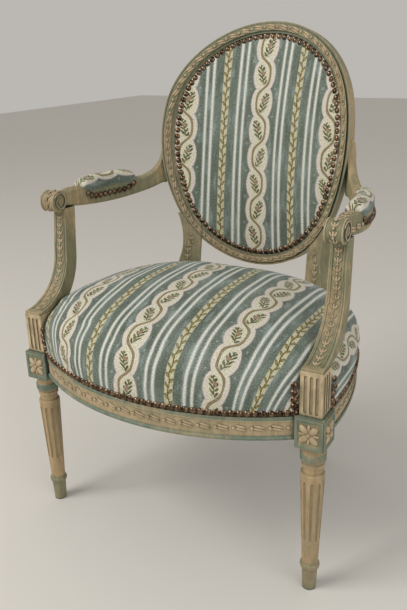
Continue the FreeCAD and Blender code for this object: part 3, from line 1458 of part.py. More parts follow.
web_edge = 8
web_pitch = mm("web_width") * 1.3
lengthwise = []
for index in range(-3, 4):
    x = index * web_pitch
    outer = abs(x) + mm("web_width") / 2
    front = bow_middle - math.sqrt(mm("front_bow_radius") ** 2 - outer ** 2) + web_edge
    tail = rear_face.y + mm("rail_thickness") / 2 - web_edge
    if outer > mm("stile_inner"):
        tail_radius = mm("corner_radius") - web_edge
        tail = corner_centre.y + math.sqrt(tail_radius ** 2 - (outer - corner_centre.x) ** 2)
    if outer > mm("stile_inner") and outer < rear_block_centre.x + mm("rear_block"):
        tail = rear_block_centre.y - mm("rear_block") * 0.75
    lengthwise.append(strap(at(x - mm("web_width") / 2, front, web_low), tail - front, False))
group("seat_webbing_lengthwise", lengthwise)
crosswise = []
for index in range(5):
    y = half_block + 6 + index * (mm("web_width") + 4)
    tail = y + mm("web_width")
    reach = min(
        side_centre.x + math.sqrt(mm("side_radius") ** 2 - (tail - side_centre.y) ** 2),
        corner_centre.x + math.sqrt(mm("corner_radius") ** 2 - max(tail - corner_centre.y, 0) ** 2),
    ) - web_edge
    crosswise.append(strap(at(-reach, y, web_low + web + soft), 2 * reach, True))
group("seat_webbing_crosswise", crosswise)


def seat_share(height):
    """Share of the outline at a height of the dome."""
    rise = (height - mm("rebate_bottom")) / REACH
    for first, last in zip(DOME, DOME[1:]):
        if rise <= last[0]:
            return first[1] + (last[1] - first[1]) * (rise - first[0]) / (last[0] - first[0])
    return DOME[-1][1]


def on_seat(point, height):
    """Moves a point of the seat outline to the surface of the dome at a height."""
    share = seat_share(height)
    return V(point.x * share, crown_back + (point.y - crown_back) * share, height)


def arc_chain(centre, radius, first, last):
    """Fine chain of points along an arc in plan at the nail line."""
    steps = 80
    return [
        centre + swing(radius, first + (last - first) * step / steps) + UP * mm("nail_line")
        for step in range(steps + 1)
    ]


def row(points, centre_of):
    """Nails along a chain, each facing away from the centre of its arc."""
    heads = []
    for point, _ in spaced(points, pitch):
        way = centre_of(point)
        heads.append(nail(on_seat(V(point.x, point.y, 0), point.z), V(way.x, way.y, 0).normalize()))
    return heads


beside_post = mm("nail_radius") + 0.8
bow_point = V(0, bow_middle, 0)
nail_bow = mm("front_bow_radius") - cover_inset
nail_side = mm("side_radius") - cover_inset
nail_corner = mm("corner_radius") - cover_inset
nail_x = leg_axis - post - beside_post
nail_y = post + beside_post
reach = math.degrees(math.asin(nail_x / nail_bow))
front_chain = arc_chain(bow_point, nail_bow, -90 - reach, -90 + reach)
front_nails = row(front_chain, lambda point: point - bow_point)
post_heights = [
    mm("nail_line") + pitch * step
    for step in range(1, int((mm("post_top") - mm("nail_line")) / pitch))
]
for sign in (-1, 1):
    for height in post_heights:
        share = seat_share(height)
        start = V(sign * nail_x / share, 0, 0)
        start.y = bow_middle - math.sqrt(nail_bow ** 2 - start.x ** 2)
        way = start - bow_point
        front_nails.append(nail(on_seat(start, height), way.normalize()))
shaped("seat_nails_front", Part.makeCompound(front_nails))

side_nails = []
start_angle = math.degrees(math.asin((nail_y - side_centre.y) / nail_side))
first_chain = arc_chain(side_centre, nail_side, start_angle, mm("side_turn"))
second_chain = arc_chain(corner_centre, nail_corner, mm("side_turn"), mm("corner_turn") - 3)
side_nails += row(first_chain, lambda point: point - side_centre)
side_nails += row(second_chain, lambda point: point - corner_centre)[1:]
for height in post_heights:
    share = seat_share(height)
    back = crown_back + (nail_y - crown_back) / share
    start = V(side_centre.x + math.sqrt(nail_side ** 2 - (back - side_centre.y) ** 2), back, 0)
    side_nails.append(nail(on_seat(start, height), (start - side_centre).normalize()))
for side, sign in SIDES:
    shaped(f"seat_nails_{side}", Part.makeCompound(side_nails), mirror=sign < 0)
rear_reach = mm("stile_inner") - 8
rear_chain = [V(-rear_reach, rear_line, mm("nail_line")), V(rear_reach, rear_line, mm("nail_line"))]
shaped("seat_nails_rear", Part.makeCompound([nail(p, V(0, 1, 0)) for p, _ in spaced(rear_chain, pitch)]))

# Back upholstery: webbing, hessian and crowned stuffing in the rebate, covered on both faces
web_back = rebate - 0.1
half_web = web / 2
opening = prism(egg_wire(-2))
tall = []
wide = []
for index in (-1, 0, 1):
    x = index * mm("web_width") * 1.7
    y = index * mm("web_width") * 2
    half = mm("web_width") / 2
    upright = box(x - half, x + half, -BIG, BIG, -BIG, BIG)
    tall.append(opening.common(layer(web_back - half_web, web_back)).common(upright))
    wide.append(
        opening.common(layer(web_back - 2 * half_web - 0.1, web_back - half_web - 0.1))
        .common(box(-BIG, BIG, y - half, y + half, -BIG, BIG))
    )
in_back("back_webbing_upright", Part.makeCompound(tall))
in_back("back_webbing_across", Part.makeCompound(wide))
hessian_rear = web_back - 2 * half_web - 0.3
in_back("back_hessian", prism(egg_wire(2)).common(layer(hessian_rear - cloth, hessian_rear)))


def back_pad(offset, rear, edge, crown):
    """A pad on the hollow back with an arched front, through sections that stand on its curve."""
    half = mm("oval_half_width") + offset
    sections = []
    stations = (0.18, 0.36, 0.54, 0.7, 0.82, 0.9, 0.955, 0.985, 0.9975)
    for share in [-s for s in reversed(stations)] + [0] + list(stations):
        x = share * half
        low, high = egg_height(x, offset)
        rise = crown * (1 - share ** 2)
        a, b = on_back(x, low, rear), on_back(x, low, edge)
        c, d = on_back(x, high, edge), on_back(x, high, rear)
        top = on_back(x, (low + high) / 2, edge - rise - 0.5)
        sections.append(Part.Wire([
            Part.LineSegment(a, b).toShape(),
            Part.Arc(b, top, c).toShape(),
            Part.LineSegment(c, d).toShape(),
            Part.LineSegment(d, a).toShape(),
        ]))
    return Part.makeLoft(sections, True, False)


pad_rear = hessian_rear - cloth - soft
crown = mm("back_crown")
room = prism(egg_wire(lip - 0.5))
in_back("back_stuffing", back_pad(1, pad_rear, 2.3, crown).common(room))
front_cover = back_pad(mm("nail_radius"), pad_rear, 0.4, crown + soft + cover)
front_cover = front_cover.cut(back_pad(2.5, pad_rear + 2, 2.3 - soft, crown + soft - 0.3))
in_back("back_cover", max(front_cover.common(room).Solids, key=lambda solid: solid.Volume))
outer_cover = prism(egg_wire(-4)).common(layer(depth + soft, depth + soft + cover))
in_back("outer_back_cover", outer_cover)


def egg_chain(offset, back_depth):
    """Fine closed chain of points along the medallion."""
    chain = []
    for centre, radius, start, end in egg(offset):
        for step in range(60):
            angle = start + (end - start) * step / 60
            spot = centre + V(math.cos(angle), math.sin(angle), 0) * radius
            chain.append(on_back(spot.x, spot.y, back_depth))
    return chain + [chain[0]]


def oval_nails(offset, back_depth, facing):
    """Nails all round the medallion."""
    heads = []
    for point, _ in spaced(egg_chain(offset, back_depth), pitch)[:-1]:
        x = BEND * point.x / (BEND + back_depth)
        heads.append(nail(point, toward_sitter(x) * facing))
    return Part.makeCompound(heads)


in_back("back_nails_front", oval_nails(0, -0.8, 1))
in_back("back_nails_rear", oval_nails(-10, depth + soft + cover, -1))

# Every piece has to be sound before it is written
doc.recompute()
for thing in doc.Objects:
    if "Invalid" in thing.State or "Error" in thing.State:
        raise ValueError(f"{thing.Label} failed")
os.makedirs("parts", exist_ok=True)
for name, piece in PARTS.items():
    shape = piece.Shape
    if shape.isNull() or not shape.isValid() or not shape.Solids:
        raise ValueError(f"{name} has no sound solid")
    shape.exportStep(f"parts/{name}.step")
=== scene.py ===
import math

import bmesh
import bpy
import numpy as np
from mathutils import Matrix, Vector
from mathutils.bvhtree import BVHTree


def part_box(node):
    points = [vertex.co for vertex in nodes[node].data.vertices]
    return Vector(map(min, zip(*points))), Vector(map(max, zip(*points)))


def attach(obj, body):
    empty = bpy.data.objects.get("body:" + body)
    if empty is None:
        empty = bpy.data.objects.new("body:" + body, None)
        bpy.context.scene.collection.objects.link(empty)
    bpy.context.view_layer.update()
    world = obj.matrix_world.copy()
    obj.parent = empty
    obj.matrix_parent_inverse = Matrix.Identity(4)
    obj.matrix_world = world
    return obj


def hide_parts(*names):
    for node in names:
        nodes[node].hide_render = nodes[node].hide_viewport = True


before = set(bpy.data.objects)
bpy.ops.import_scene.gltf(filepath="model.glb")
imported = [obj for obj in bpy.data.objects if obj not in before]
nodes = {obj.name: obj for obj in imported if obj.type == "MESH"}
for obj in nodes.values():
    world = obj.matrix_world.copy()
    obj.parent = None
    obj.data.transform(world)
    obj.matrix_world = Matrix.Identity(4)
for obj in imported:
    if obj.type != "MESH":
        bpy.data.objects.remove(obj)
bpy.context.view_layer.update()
bpy.ops.object.select_all(action="DESELECT")

# Painted frame: the beech legs, rails, arms and oval carry an old grey-green water paint over a
# cream ground. The paint has worn through to cream and bare wood along every edge. The hollows
# are painted darker: partly a blue-green wash that has stayed there, partly painted shade.
bare_edge = (0.56, 0.44, 0.27)
bare_chip = (0.17, 0.10, 0.05)
grain_shade = (0.2, 0.17, 0.11)
rubbed_width = 0.0022
wash_and_shade_depth = 0.007
brush_line = 0.0008


def new_material(name):
    """An empty node material with its shader."""
    material = bpy.data.materials.new(name)
    material.use_nodes = True
    tree = material.node_tree
    shader = tree.nodes["Principled BSDF"]
    return material, tree, shader


def node(tree, kind, **settings):
    """A shader node with its settings."""
    made = tree.nodes.new("ShaderNode" + kind)
    for key, value in settings.items():
        setattr(made, key, value)
    return made


def math_node(tree, operation, *values, clamp=False):
    """A maths step on numbers or sockets; gives its output socket."""
    made = node(tree, "Math", operation=operation, use_clamp=clamp)
    for index, value in enumerate(values):
        if hasattr(value, "is_output"):
            tree.links.new(value, made.inputs[index])
        else:
            made.inputs[index].default_value = value
    return made.outputs[0]


def times(tree, first, second, clamp=False):
    """The product of two values."""
    return math_node(tree, "MULTIPLY", first, second, clamp=clamp)


def plus(tree, first, second):
    """The sum of two values."""
    return math_node(tree, "ADD", first, second)


def less(tree, first, second, clamp=False):
    """The first value less the second."""
    return math_node(tree, "SUBTRACT", first, second, clamp=clamp)


def rest_of(tree, share):
    """What a share leaves of the whole."""
    return less(tree, 1, share)


def divided(tree, first, second):
    """The first value divided by the second."""
    return math_node(tree, "DIVIDE", first, second)


def absolute(tree, value):
    """A value without its sign."""
    return math_node(tree, "ABSOLUTE", value)


def step_up(tree, value, low, high):
    """A smooth step from 0 to 1 between two values."""
    made = node(tree, "MapRange", interpolation_type="SMOOTHSTEP")
    tree.links.new(value, made.inputs["Value"])
    made.inputs["From Min"].default_value = low
    made.inputs["From Max"].default_value = high
    return made.outputs["Result"]


def step_down(tree, value, low, high):
    """A smooth step from 1 to 0 between two values."""
    return rest_of(tree, step_up(tree, value, low, high))


def mix_colour(tree, share, first, second, blend="MIX"):
    """Mixes two colours, given as tuples or sockets."""
    made = node(tree, "Mix", data_type="RGBA", blend_type=blend)
    for index, value in ((0, share), (6, first), (7, second)):
        if hasattr(value, "is_output"):
            tree.links.new(value, made.inputs[index])
        elif index:
            made.inputs[index].default_value = (*value, 1)
        else:
            made.inputs[index].default_value = value
    return made.outputs[2]


def noise(tree, vector, scale, detail=4, roughness=0.55):
    """Noise on a set of coordinates; gives its value."""
    made = node(tree, "TexNoise")
    made.inputs["Scale"].default_value = scale
    made.inputs["Detail"].default_value = detail
    made.inputs["Roughness"].default_value = roughness
    tree.links.new(vector, made.inputs["Vector"])
    return made.outputs["Fac"]


def drawn_noise(tree, vector, scales, detail):
    """Noise with a scale of its own each way, as in grain and brushed nap."""
    mapping = node(tree, "Mapping")
    mapping.inputs["Scale"].default_value = scales
    tree.links.new(vector, mapping.inputs["Vector"])
    return noise(tree, mapping.outputs["Vector"], 1, detail, 0.6)


def raise_surface(tree, shader, height, strength, distance):
    """Bump on the shader from a height."""
    bump = node(tree, "Bump")
    bump.inputs["Strength"].default_value = strength
    bump.inputs["Distance"].default_value = distance
    tree.links.new(height, bump.inputs["Height"])
    tree.links.new(bump.outputs["Normal"], shader.inputs["Normal"])


def worn_paint(name, coat, hollow, ground, wear, bands=()):
    """Old paint: coat colour, wash and painted shade in the hollows, cream ground and wood where it is worn.

    A band gives the part of the piece between two heights a coat and a darker hollow colour, wash and painted
    shade, of its own.
    """
    material, tree, shader = new_material(name)
    place = node(tree, "TexCoord").outputs["Object"]
    split = node(tree, "SeparateXYZ")
    tree.links.new(place, split.inputs[0])
    for low, high, band_coat, band_hollow in bands:
        over = step_up(tree, split.outputs["Z"], low - brush_line, low + brush_line)
        under = step_down(tree, split.outputs["Z"], high - brush_line, high + brush_line)
        share = times(tree, over, under)
        coat = mix_colour(tree, share, coat, band_coat)
        hollow = mix_colour(tree, share, hollow, band_hollow)
    broad = noise(tree, place, 9)
    fine = noise(tree, place, 70, 6, 0.65)
    grain = drawn_noise(tree, place, (160, 160, 26), 5)

    # An edge is where the rounded normal turns away from the real one, and a hollow is where
    # little light gets in; the hollows are given painted shade
    bevel = node(tree, "Bevel", samples=6)
    bevel.inputs["Radius"].default_value = rubbed_width
    turn = node(tree, "VectorMath", operation="DOT_PRODUCT")
    tree.links.new(bevel.outputs["Normal"], turn.inputs[0])
    tree.links.new(node(tree, "NewGeometry").outputs["Normal"], turn.inputs[1])
    edge = times(tree, rest_of(tree, turn.outputs["Value"]), 7, clamp=True)
    shade = node(tree, "AmbientOcclusion", samples=6)
    shade.inputs["Distance"].default_value = wash_and_shade_depth
    closed = times(tree, rest_of(tree, shade.outputs["AO"]), 1.7, clamp=True)

    patch = step_up(tree, plus(tree, broad, times(tree, fine, 0.5)), 0.66, 0.94)
    colour = mix_colour(tree, patch, coat, ground)
    open_edge = times(tree, edge, rest_of(tree, closed))
    rubbed = step_up(tree, plus(tree, open_edge, times(tree, fine, 0.8)), 0.55, 0.95)
    colour = mix_colour(tree, times(tree, rubbed, wear), colour, bare_edge)
    # Painted shade: the hollows take the darker hollow colour, partly a real wash
    colour = mix_colour(tree, closed, colour, hollow)
    chips = step_up(tree, noise(tree, place, 210, 3, 0.7), 0.69, 0.76)
    chips = times(tree, chips, step_up(tree, broad, 0.45, 0.65))
    colour = mix_colour(tree, times(tree, chips, 0.7), colour, bare_chip)
    streak = times(tree, step_up(tree, grain, 0.35, 0.7), 0.3)
    colour = mix_colour(tree, streak, colour, grain_shade, "MULTIPLY")
    tree.links.new(colour, shader.inputs["Base Color"])
    tree.links.new(plus(tree, times(tree, fine, 0.3), 0.42), shader.inputs["Roughness"])
    shader.inputs["Specular IOR Level"].default_value = 0.35
    raise_surface(tree, shader, plus(tree, grain, times(tree, fine, 0.6)), 0.35, 0.0008)
    return material


def give(piece, *materials):
    """Puts materials in a piece's slots."""
    piece.data.materials.clear()
    for material in materials:
        piece.data.materials.append(material)


# Each coat is a colour with the darker colour of its hollows, a wash with painted shade
green_coat = ((0.245, 0.23, 0.135), (0.07, 0.115, 0.088))
blue_coat = ((0.16, 0.215, 0.165), (0.07, 0.1, 0.08))
cream_coat = ((0.64, 0.5, 0.32), (0.27, 0.225, 0.14))
leg_coat = ((0.46, 0.33, 0.18), (0.16, 0.145, 0.085))
foot_band = (0, 0.055, *green_coat)
green_paint = worn_paint("green_paint", *green_coat, (0.44, 0.33, 0.185), 0.8)
rail_paint = worn_paint(
    "rail_paint", (0.47, 0.365, 0.215), (0.19, 0.18, 0.115), (0.36, 0.31, 0.19), 0.65,
    bands=((0.28, 0.2955, *blue_coat), (0.3215, 0.33, *blue_coat)),
)
front_leg_paint = worn_paint(
    "front_leg_paint", *leg_coat, (0.34, 0.28, 0.17), 0.6,
    bands=(
        foot_band, (0.2515, 0.2645, *blue_coat), (0.2755, 0.3335, *blue_coat),
        (0.335, 0.5, *cream_coat),
    ),
)
rear_leg_paint = worn_paint(
    "rear_leg_paint", *leg_coat, (0.42, 0.33, 0.2), 0.7,
    bands=(foot_band, (0.284, 1, *green_coat)),
)
for name in ("front_rail", "side_rail_left", "side_rail_right", "rear_rail"):
    give(nodes[name], rail_paint)
for side in ("left", "right"):
    give(nodes[f"front_leg_{side}"], front_leg_paint)
    give(nodes[f"rear_leg_{side}"], rear_leg_paint)
    give(nodes[f"arm_{side}"], green_paint)
    give(nodes[f"arm_support_{side}"], green_paint)
for name in ("back_crest_rail", "back_base_rail"):
    give(nodes[name], green_paint)

# Carcase parts out of sight: bare beech corner blocks with their steel screws, painted pegs, jute
# webbing strained over the rails, and a hessian that lies on it and under the stuffing.


def plain_weave(name, thread, gap, pitch):
    """A coarse plain weave on object coordinates."""
    material, tree, shader = new_material(name)
    place = node(tree, "SeparateXYZ")
    tree.links.new(node(tree, "TexCoord").outputs["Object"], place.inputs[0])
    wave = 0
    for axis in ("X", "Y", "Z"):
        turn = times(tree, place.outputs[axis], math.pi / pitch)
        wave = plus(tree, absolute(tree, math_node(tree, "SINE", turn)), wave)
    thick = step_up(tree, wave, 0.9, 1.7)
    tree.links.new(mix_colour(tree, thick, gap, thread), shader.inputs["Base Color"])
    raise_surface(tree, shader, thick, 0.5, pitch / 3)
    shader.inputs["Roughness"].default_value = 0.9
    return material


beech, tree, shader = new_material("bare_beech")
grain = drawn_noise(tree, node(tree, "TexCoord").outputs["Object"], (30, 220, 220), 6)
planed = mix_colour(tree, step_up(tree, grain, 0.3, 0.7), (0.36, 0.2, 0.09), (0.55, 0.36, 0.19))
tree.links.new(planed, shader.inputs["Base Color"])
shader.inputs["Roughness"].default_value = 0.7
jute = plain_weave("jute_webbing", (0.5, 0.39, 0.22), (0.25, 0.18, 0.09), 0.002)
hessian = plain_weave("hessian", (0.42, 0.31, 0.17), (0.16, 0.11, 0.06), 0.0016)
steel, tree, shader = new_material("screw_steel")
shader.inputs["Metallic"].default_value = 1
spread = step_up(tree, noise(tree, node(tree, "TexCoord").outputs["Object"], 400), 0.3, 0.7)
tree.links.new(mix_colour(tree, spread, (0.3, 0.29, 0.28), (0.5, 0.49, 0.47)), shader.inputs["Base Color"])
shader.inputs["Roughness"].default_value = 0.4
for side in ("left", "right"):
    give(nodes[f"corner_block_front_{side}"], beech)
    give(nodes[f"corner_block_rear_{side}"], beech)
for name in ("seat_joint_pegs", "back_joint_pegs"):
    give(nodes[name], green_paint)
for name in ("corner_block_screws", "arm_screws"):
    give(nodes[name], steel)
for name in (
    "seat_webbing_lengthwise", "seat_webbing_crosswise", "back_webbing_upright", "back_webbing_across",
):
    give(nodes[name], jute)
for name in ("seat_hessian", "back_hessian"):
    give(nodes[name], hessian)

# Seat cushion: a dome of hair and wadding under striped velvet, drawn down over the rails and
# nailed in their rebates. The cloth is cut round the posts, the arm supports and the stiles.

# The cloth repeats across at every stripe_pitch: a scalloped band with a vine, white stripes on
# both sides of it, and a leaf trail half way to the next band
stripe_pitch = 0.162
white_stripes = ((0.0395, 0.0036), (0.0530, 0.0038))
trail_half = 0.0068
trail_pitch = 0.0092
trail_leaf = (0.0044, 0.0037)
trail_leaf_off = 0.0034
stem_wave = 0.034
stem_swing = 0.0013
vine_pitch = 0.104
vine_swing = 0.0138
vine_half = 0.0016
bay_half = 0.0152
bay_swell = 0.0088
spray_off = 0.0048
spray_lean = 0.28
spray_reach = (0.0105, 0.0185)
leaf_pitch = 0.0084
leaf_half = (0.0044, 0.0030)
leaf_middle = 0.0046
leaf_rise = 0.85
flower_half = 0.0032
dot_off = 0.0265

# The first colour below is a painted sheen on the brushed nap; the others are the cloth's own colours
painted_nap_sheen = (0.3, 0.38, 0.37)
stripe_white = (0.68, 0.7, 0.64)
stripe_shade = (0.34, 0.36, 0.33)
trail_cream = (0.56, 0.53, 0.36)
trail_olive = ((0.3, 0.23, 0.05), (0.1, 0.075, 0.014))
band_shade = (0.4, 0.38, 0.34)
band_white = (0.70, 0.62, 0.57)
band_cream = (0.66, 0.63, 0.49)
vine_brown = (0.17, 0.115, 0.045)
vine_tan = (0.3, 0.23, 0.12)
leaf_greens = ((0.055, 0.06, 0.015), (0.165, 0.16, 0.04))
flower_rose = (0.42, 0.24, 0.19)
flower_ring = (0.2, 0.2, 0.08)
dot_pale = (0.5, 0.54, 0.47)


def ellipse(tree, x, y, half_x, half_y):
    """0 in the middle of an ellipse and 1 on its edge."""
    x = divided(tree, x, half_x)
    y = divided(tree, y, half_y)
    return plus(tree, times(tree, x, x), times(tree, y, y))


def centred(tree, cell, pitch):
    """The number of the nearest repeat, and the place from its middle, in metres."""
    number = math_node(tree, "ROUND", cell)
    return number, times(tree, less(tree, cell, number), pitch)


def parity_of(tree, number):
    """0 for an even repeat and 1 for an odd one."""
    return math_node(tree, "MODULO", absolute(tree, number), 2)


def velvet(name, across_shift, along_shift, ground, painted_sheen):
    """Striped velvet on the piece's own map: scalloped bands with a vine, stripes and leaf trails."""
    material, tree, shader = new_material(name)
    cloth_map = node(tree, "UVMap", uv_map="cloth")
    place = cloth_map.outputs["UV"]
    split = node(tree, "SeparateXYZ")
    tree.links.new(place, split.inputs[0])
    u = plus(tree, split.outputs["X"], across_shift)
    v = plus(tree, split.outputs["Y"], along_shift)
    _, x = centred(tree, divided(tree, u, stripe_pitch), stripe_pitch)
    reach = absolute(tree, x)
    wobble = times(tree, less(tree, noise(tree, place, 260, 2), 0.5), 0.0022)

    # Pile: the ground is painted lighter in broad soft patches, a painted sheen where the nap lies
    # differently
    pile = noise(tree, place, 900, 3, 0.7)
    colour = mix_colour(tree, step_up(tree, noise(tree, place, 11, 3), 0.3, 0.75), ground, painted_sheen)
    speck = step_up(tree, pile, 0.45, 0.75)
    colour = mix_colour(tree, times(tree, speck, 0.3), colour, (0.3, 0.36, 0.33))
    # Brushed streaks where the nap lies flat, painted lighter and silvery as a painted sheen
    brushed = step_up(tree, drawn_noise(tree, place, (60, 16, 1), 4), 0.48, 0.7)
    colour = mix_colour(tree, times(tree, brushed, 0.5), colour, painted_nap_sheen)

    # Two plain white stripes on each side of a leaf trail
    for middle, half in white_stripes:
        off = absolute(tree, less(tree, reach, middle))
        off = plus(tree, off, times(tree, wobble, 0.3))
        soft_edge = step_down(tree, off, half - 0.0016, half + 0.0026)
        colour = mix_colour(tree, times(tree, soft_edge, 0.6), colour, stripe_shade)
        colour = mix_colour(tree, step_down(tree, off, half - 0.0026, half), colour, stripe_white)

    # Leaf trail on a narrow cream stripe: a waving stem with a leaf on each side by turns
    far = less(tree, stripe_pitch / 2, reach)
    trail_x = times(tree, far, math_node(tree, "SIGN", x))
    trail = step_down(tree, plus(tree, far, wobble), trail_half, trail_half + 0.0014)
    colour = mix_colour(tree, trail, colour, trail_cream)
    leaf_number, leaf_v = centred(tree, divided(tree, v, trail_pitch), trail_pitch)
    way = less(tree, times(tree, parity_of(tree, leaf_number), 2), 1)
    wave = math_node(tree, "SINE", times(tree, v, 2 * math.pi / stem_wave))
    stem = absolute(tree, less(tree, trail_x, times(tree, wave, stem_swing)))
    stem = step_down(tree, stem, 0.0007, 0.0014)
    leaf_x = less(tree, trail_x, times(tree, way, trail_leaf_off))
    leaf_y = less(tree, leaf_v, times(tree, times(tree, leaf_x, way), 0.9))
    oval = ellipse(tree, leaf_x, leaf_y, *trail_leaf)
    leaf = step_down(tree, plus(tree, oval, times(tree, wobble, 300)), 0.6, 1.1)
    mark = times(tree, math_node(tree, "MAXIMUM", stem, leaf), trail)
    olive = mix_colour(tree, step_up(tree, oval, 0.1, 0.6), *trail_olive)
    colour = mix_colour(tree, mark, colour, olive)

    # Scalloped cream band: a chain of round bays, each half a turn of the vine long
    bay = divided(tree, v, vine_pitch / 2)
    bay_number, bay_v = centred(tree, bay, 1)
    arch = absolute(tree, math_node(tree, "COSINE", times(tree, bay_v, math.pi)))
    arch = math_node(tree, "POWER", arch, 0.65)
    limit = plus(tree, times(tree, arch, bay_swell), bay_half)
    edge = less(tree, limit, plus(tree, reach, times(tree, wobble, 0.5)))
    halo = step_up(tree, edge, -0.0022, 0.0006)
    colour = mix_colour(tree, times(tree, halo, 0.6), colour, band_shade)
    band = step_up(tree, edge, -0.0002, 0.0014)
    heart = mix_colour(tree, step_up(tree, edge, 0.003, 0.008), band_white, band_cream)
    colour = mix_colour(tree, band, colour, heart)

    # The vine: a brown ribbon that swings from side to side and lingers at each side. Its width
    # is kept where it slants
    vine_angle = times(tree, v, 2 * math.pi / vine_pitch)
    swing = math_node(tree, "TANH", times(tree, math_node(tree, "COSINE", vine_angle), 1.5))
    slant = absolute(tree, math_node(tree, "SINE", vine_angle))
    slant = times(tree, math_node(tree, "POWER", slant, 2), 1.3)
    longer = math_node(tree, "SQRT", plus(tree, times(tree, slant, slant), 1))
    vine = absolute(tree, less(tree, x, times(tree, swing, -vine_swing)))
    vine = divided(tree, vine, longer)
    colour = mix_colour(tree, step_down(tree, vine, vine_half, 0.0026), colour, vine_brown)
    colour = mix_colour(tree, step_down(tree, vine, 0.0006, 0.0012), colour, vine_tan)

    # A leafy spray in each bay on the side that the vine leaves free: a leaning stem, upturned
    # leaves left and right of it by turns, and one open flower
    free_side = less(tree, 1, times(tree, parity_of(tree, bay_number), 2))
    ragged = times(tree, less(tree, noise(tree, place, 95, 2), 0.5), 0.009)
    spray_v = plus(tree, times(tree, bay_v, vine_pitch / 2), ragged)
    spray_x = less(tree, times(tree, x, free_side), spray_off)
    spray_x = less(tree, spray_x, times(tree, spray_v, spray_lean))
    spread = absolute(tree, plus(tree, spray_x, times(tree, ragged, 0.4)))
    row = less(tree, spray_v, times(tree, spread, leaf_rise))
    row = plus(tree, row, times(tree, math_node(tree, "SIGN", spray_x), leaf_pitch / 4))
    row = divided(tree, plus(tree, row, 0.0035), leaf_pitch)
    _, row = centred(tree, row, leaf_pitch)
    spray = ellipse(tree, less(tree, spread, leaf_middle), row, *leaf_half)
    spray = math_node(tree, "MINIMUM", spray, times(tree, spread, 950))
    bound = ellipse(tree, spray_x, spray_v, *spray_reach)
    leaves = step_down(tree, spray, 0.75, 1.25)
    leaves = times(tree, leaves, step_down(tree, bound, 0.9, 1.1))
    tint = mix_colour(tree, step_up(tree, noise(tree, place, 130, 1), 0.42, 0.6), *leaf_greens)
    colour = mix_colour(tree, leaves, colour, tint)
    flower_x = plus(tree, spray_x, 0.0026)
    flower_v = less(tree, spray_v, 0.004)
    size = math_node(tree, "SQRT", ellipse(tree, flower_x, flower_v, 1, 1))
    flower = step_down(tree, plus(tree, size, wobble), flower_half, flower_half + 0.0012)
    colour = mix_colour(tree, flower, colour, flower_rose)
    petal = absolute(tree, less(tree, size, 0.0018))
    colour = mix_colour(tree, step_down(tree, petal, 0.0003, 0.0007), colour, flower_ring)

    # Small pale flowers scattered on the ground beside the bands
    dot_x = less(tree, reach, dot_off)
    dot_v = times(tree, less(tree, absolute(tree, bay_v), 0.5), vine_pitch / 2)
    dot = math_node(tree, "SQRT", ellipse(tree, dot_x, dot_v, 1, 1))
    dot = step_down(tree, plus(tree, dot, wobble), 0.0016, 0.0032)
    dot = times(tree, dot, rest_of(tree, halo))
    colour = mix_colour(tree, times(tree, dot, 0.35), colour, dot_pale)

    # Light and dark tufts, which the pile shows over all its colours
    tuft = step_up(tree, noise(tree, place, 430, 2, 0.7), 0.36, 0.64)
    dark = less(tree, 0.62, tuft, clamp=True)
    colour = mix_colour(tree, dark, colour, (0.42, 0.42, 0.36), "MULTIPLY")
    bright = times(tree, less(tree, tuft, 0.7, clamp=True), 0.5)
    colour = mix_colour(tree, bright, colour, (0.7, 0.74, 0.7))
    # A bluish painted sheen along the brushed streaks
    colour = mix_colour(tree, times(tree, brushed, 0.12), colour, (0.45, 0.52, 0.52))

    tree.links.new(colour, shader.inputs["Base Color"])
    shader.inputs["Roughness"].default_value = 0.62
    shader.inputs["Specular IOR Level"].default_value = 0.25
    shader.inputs["Sheen Weight"].default_value = 0.22
    shader.inputs["Sheen Roughness"].default_value = 0.4
    shader.inputs["Sheen Tint"].default_value = (0.75, 0.85, 0.9, 1)
    raised = plus(tree, pile, times(tree, rest_of(tree, band), 0.6))
    raise_surface(tree, shader, raised, 0.4, 0.0006)
    return material


def copy_solid(name, source):
    """A merged copy of a CAD node's mesh as a new piece."""
    bpy.ops.object.select_all(action="DESELECT")
    piece = bpy.data.objects.new(name, nodes[source].data.copy())
    bpy.context.scene.collection.objects.link(piece)
    bpy.context.view_layer.objects.active = piece
    piece.select_set(True)
    bpy.ops.object.mode_set(mode="EDIT")
    bpy.ops.mesh.select_all(action="SELECT")
    bpy.ops.mesh.remove_doubles(threshold=0.00001)
    bpy.ops.mesh.normals_make_consistent(inside=False)
    bpy.ops.object.mode_set(mode="OBJECT")
    return piece


def apply_all(piece):
    """Applies every modifier of a piece."""
    bpy.context.view_layer.objects.active = piece
    for modifier in list(piece.modifiers):
        bpy.ops.object.modifier_apply(modifier=modifier.name)


def remesh(piece, cell):
    """Even skin of square cells over a closed piece."""
    modifier = piece.modifiers.new("skin", "REMESH")
    modifier.mode = "VOXEL"
    modifier.voxel_size = cell
    modifier.use_smooth_shade = True
    apply_all(piece)


def ease(piece, factor, rounds):
    """Takes the steps out of a new skin."""
    modifier = piece.modifiers.new("ease", "SMOOTH")
    modifier.factor = factor
    modifier.iterations = rounds
    apply_all(piece)


def refine(piece):
    """One smooth subdivision."""
    modifier = piece.modifiers.new("finer", "SUBSURF")
    modifier.levels = 1
    modifier.render_levels = 1
    apply_all(piece)


def points_of(piece):
    """The points of a piece as rows of x, y and z."""
    points = np.empty(len(piece.data.vertices) * 3)
    piece.data.vertices.foreach_get("co", points)
    return points.reshape(-1, 3)


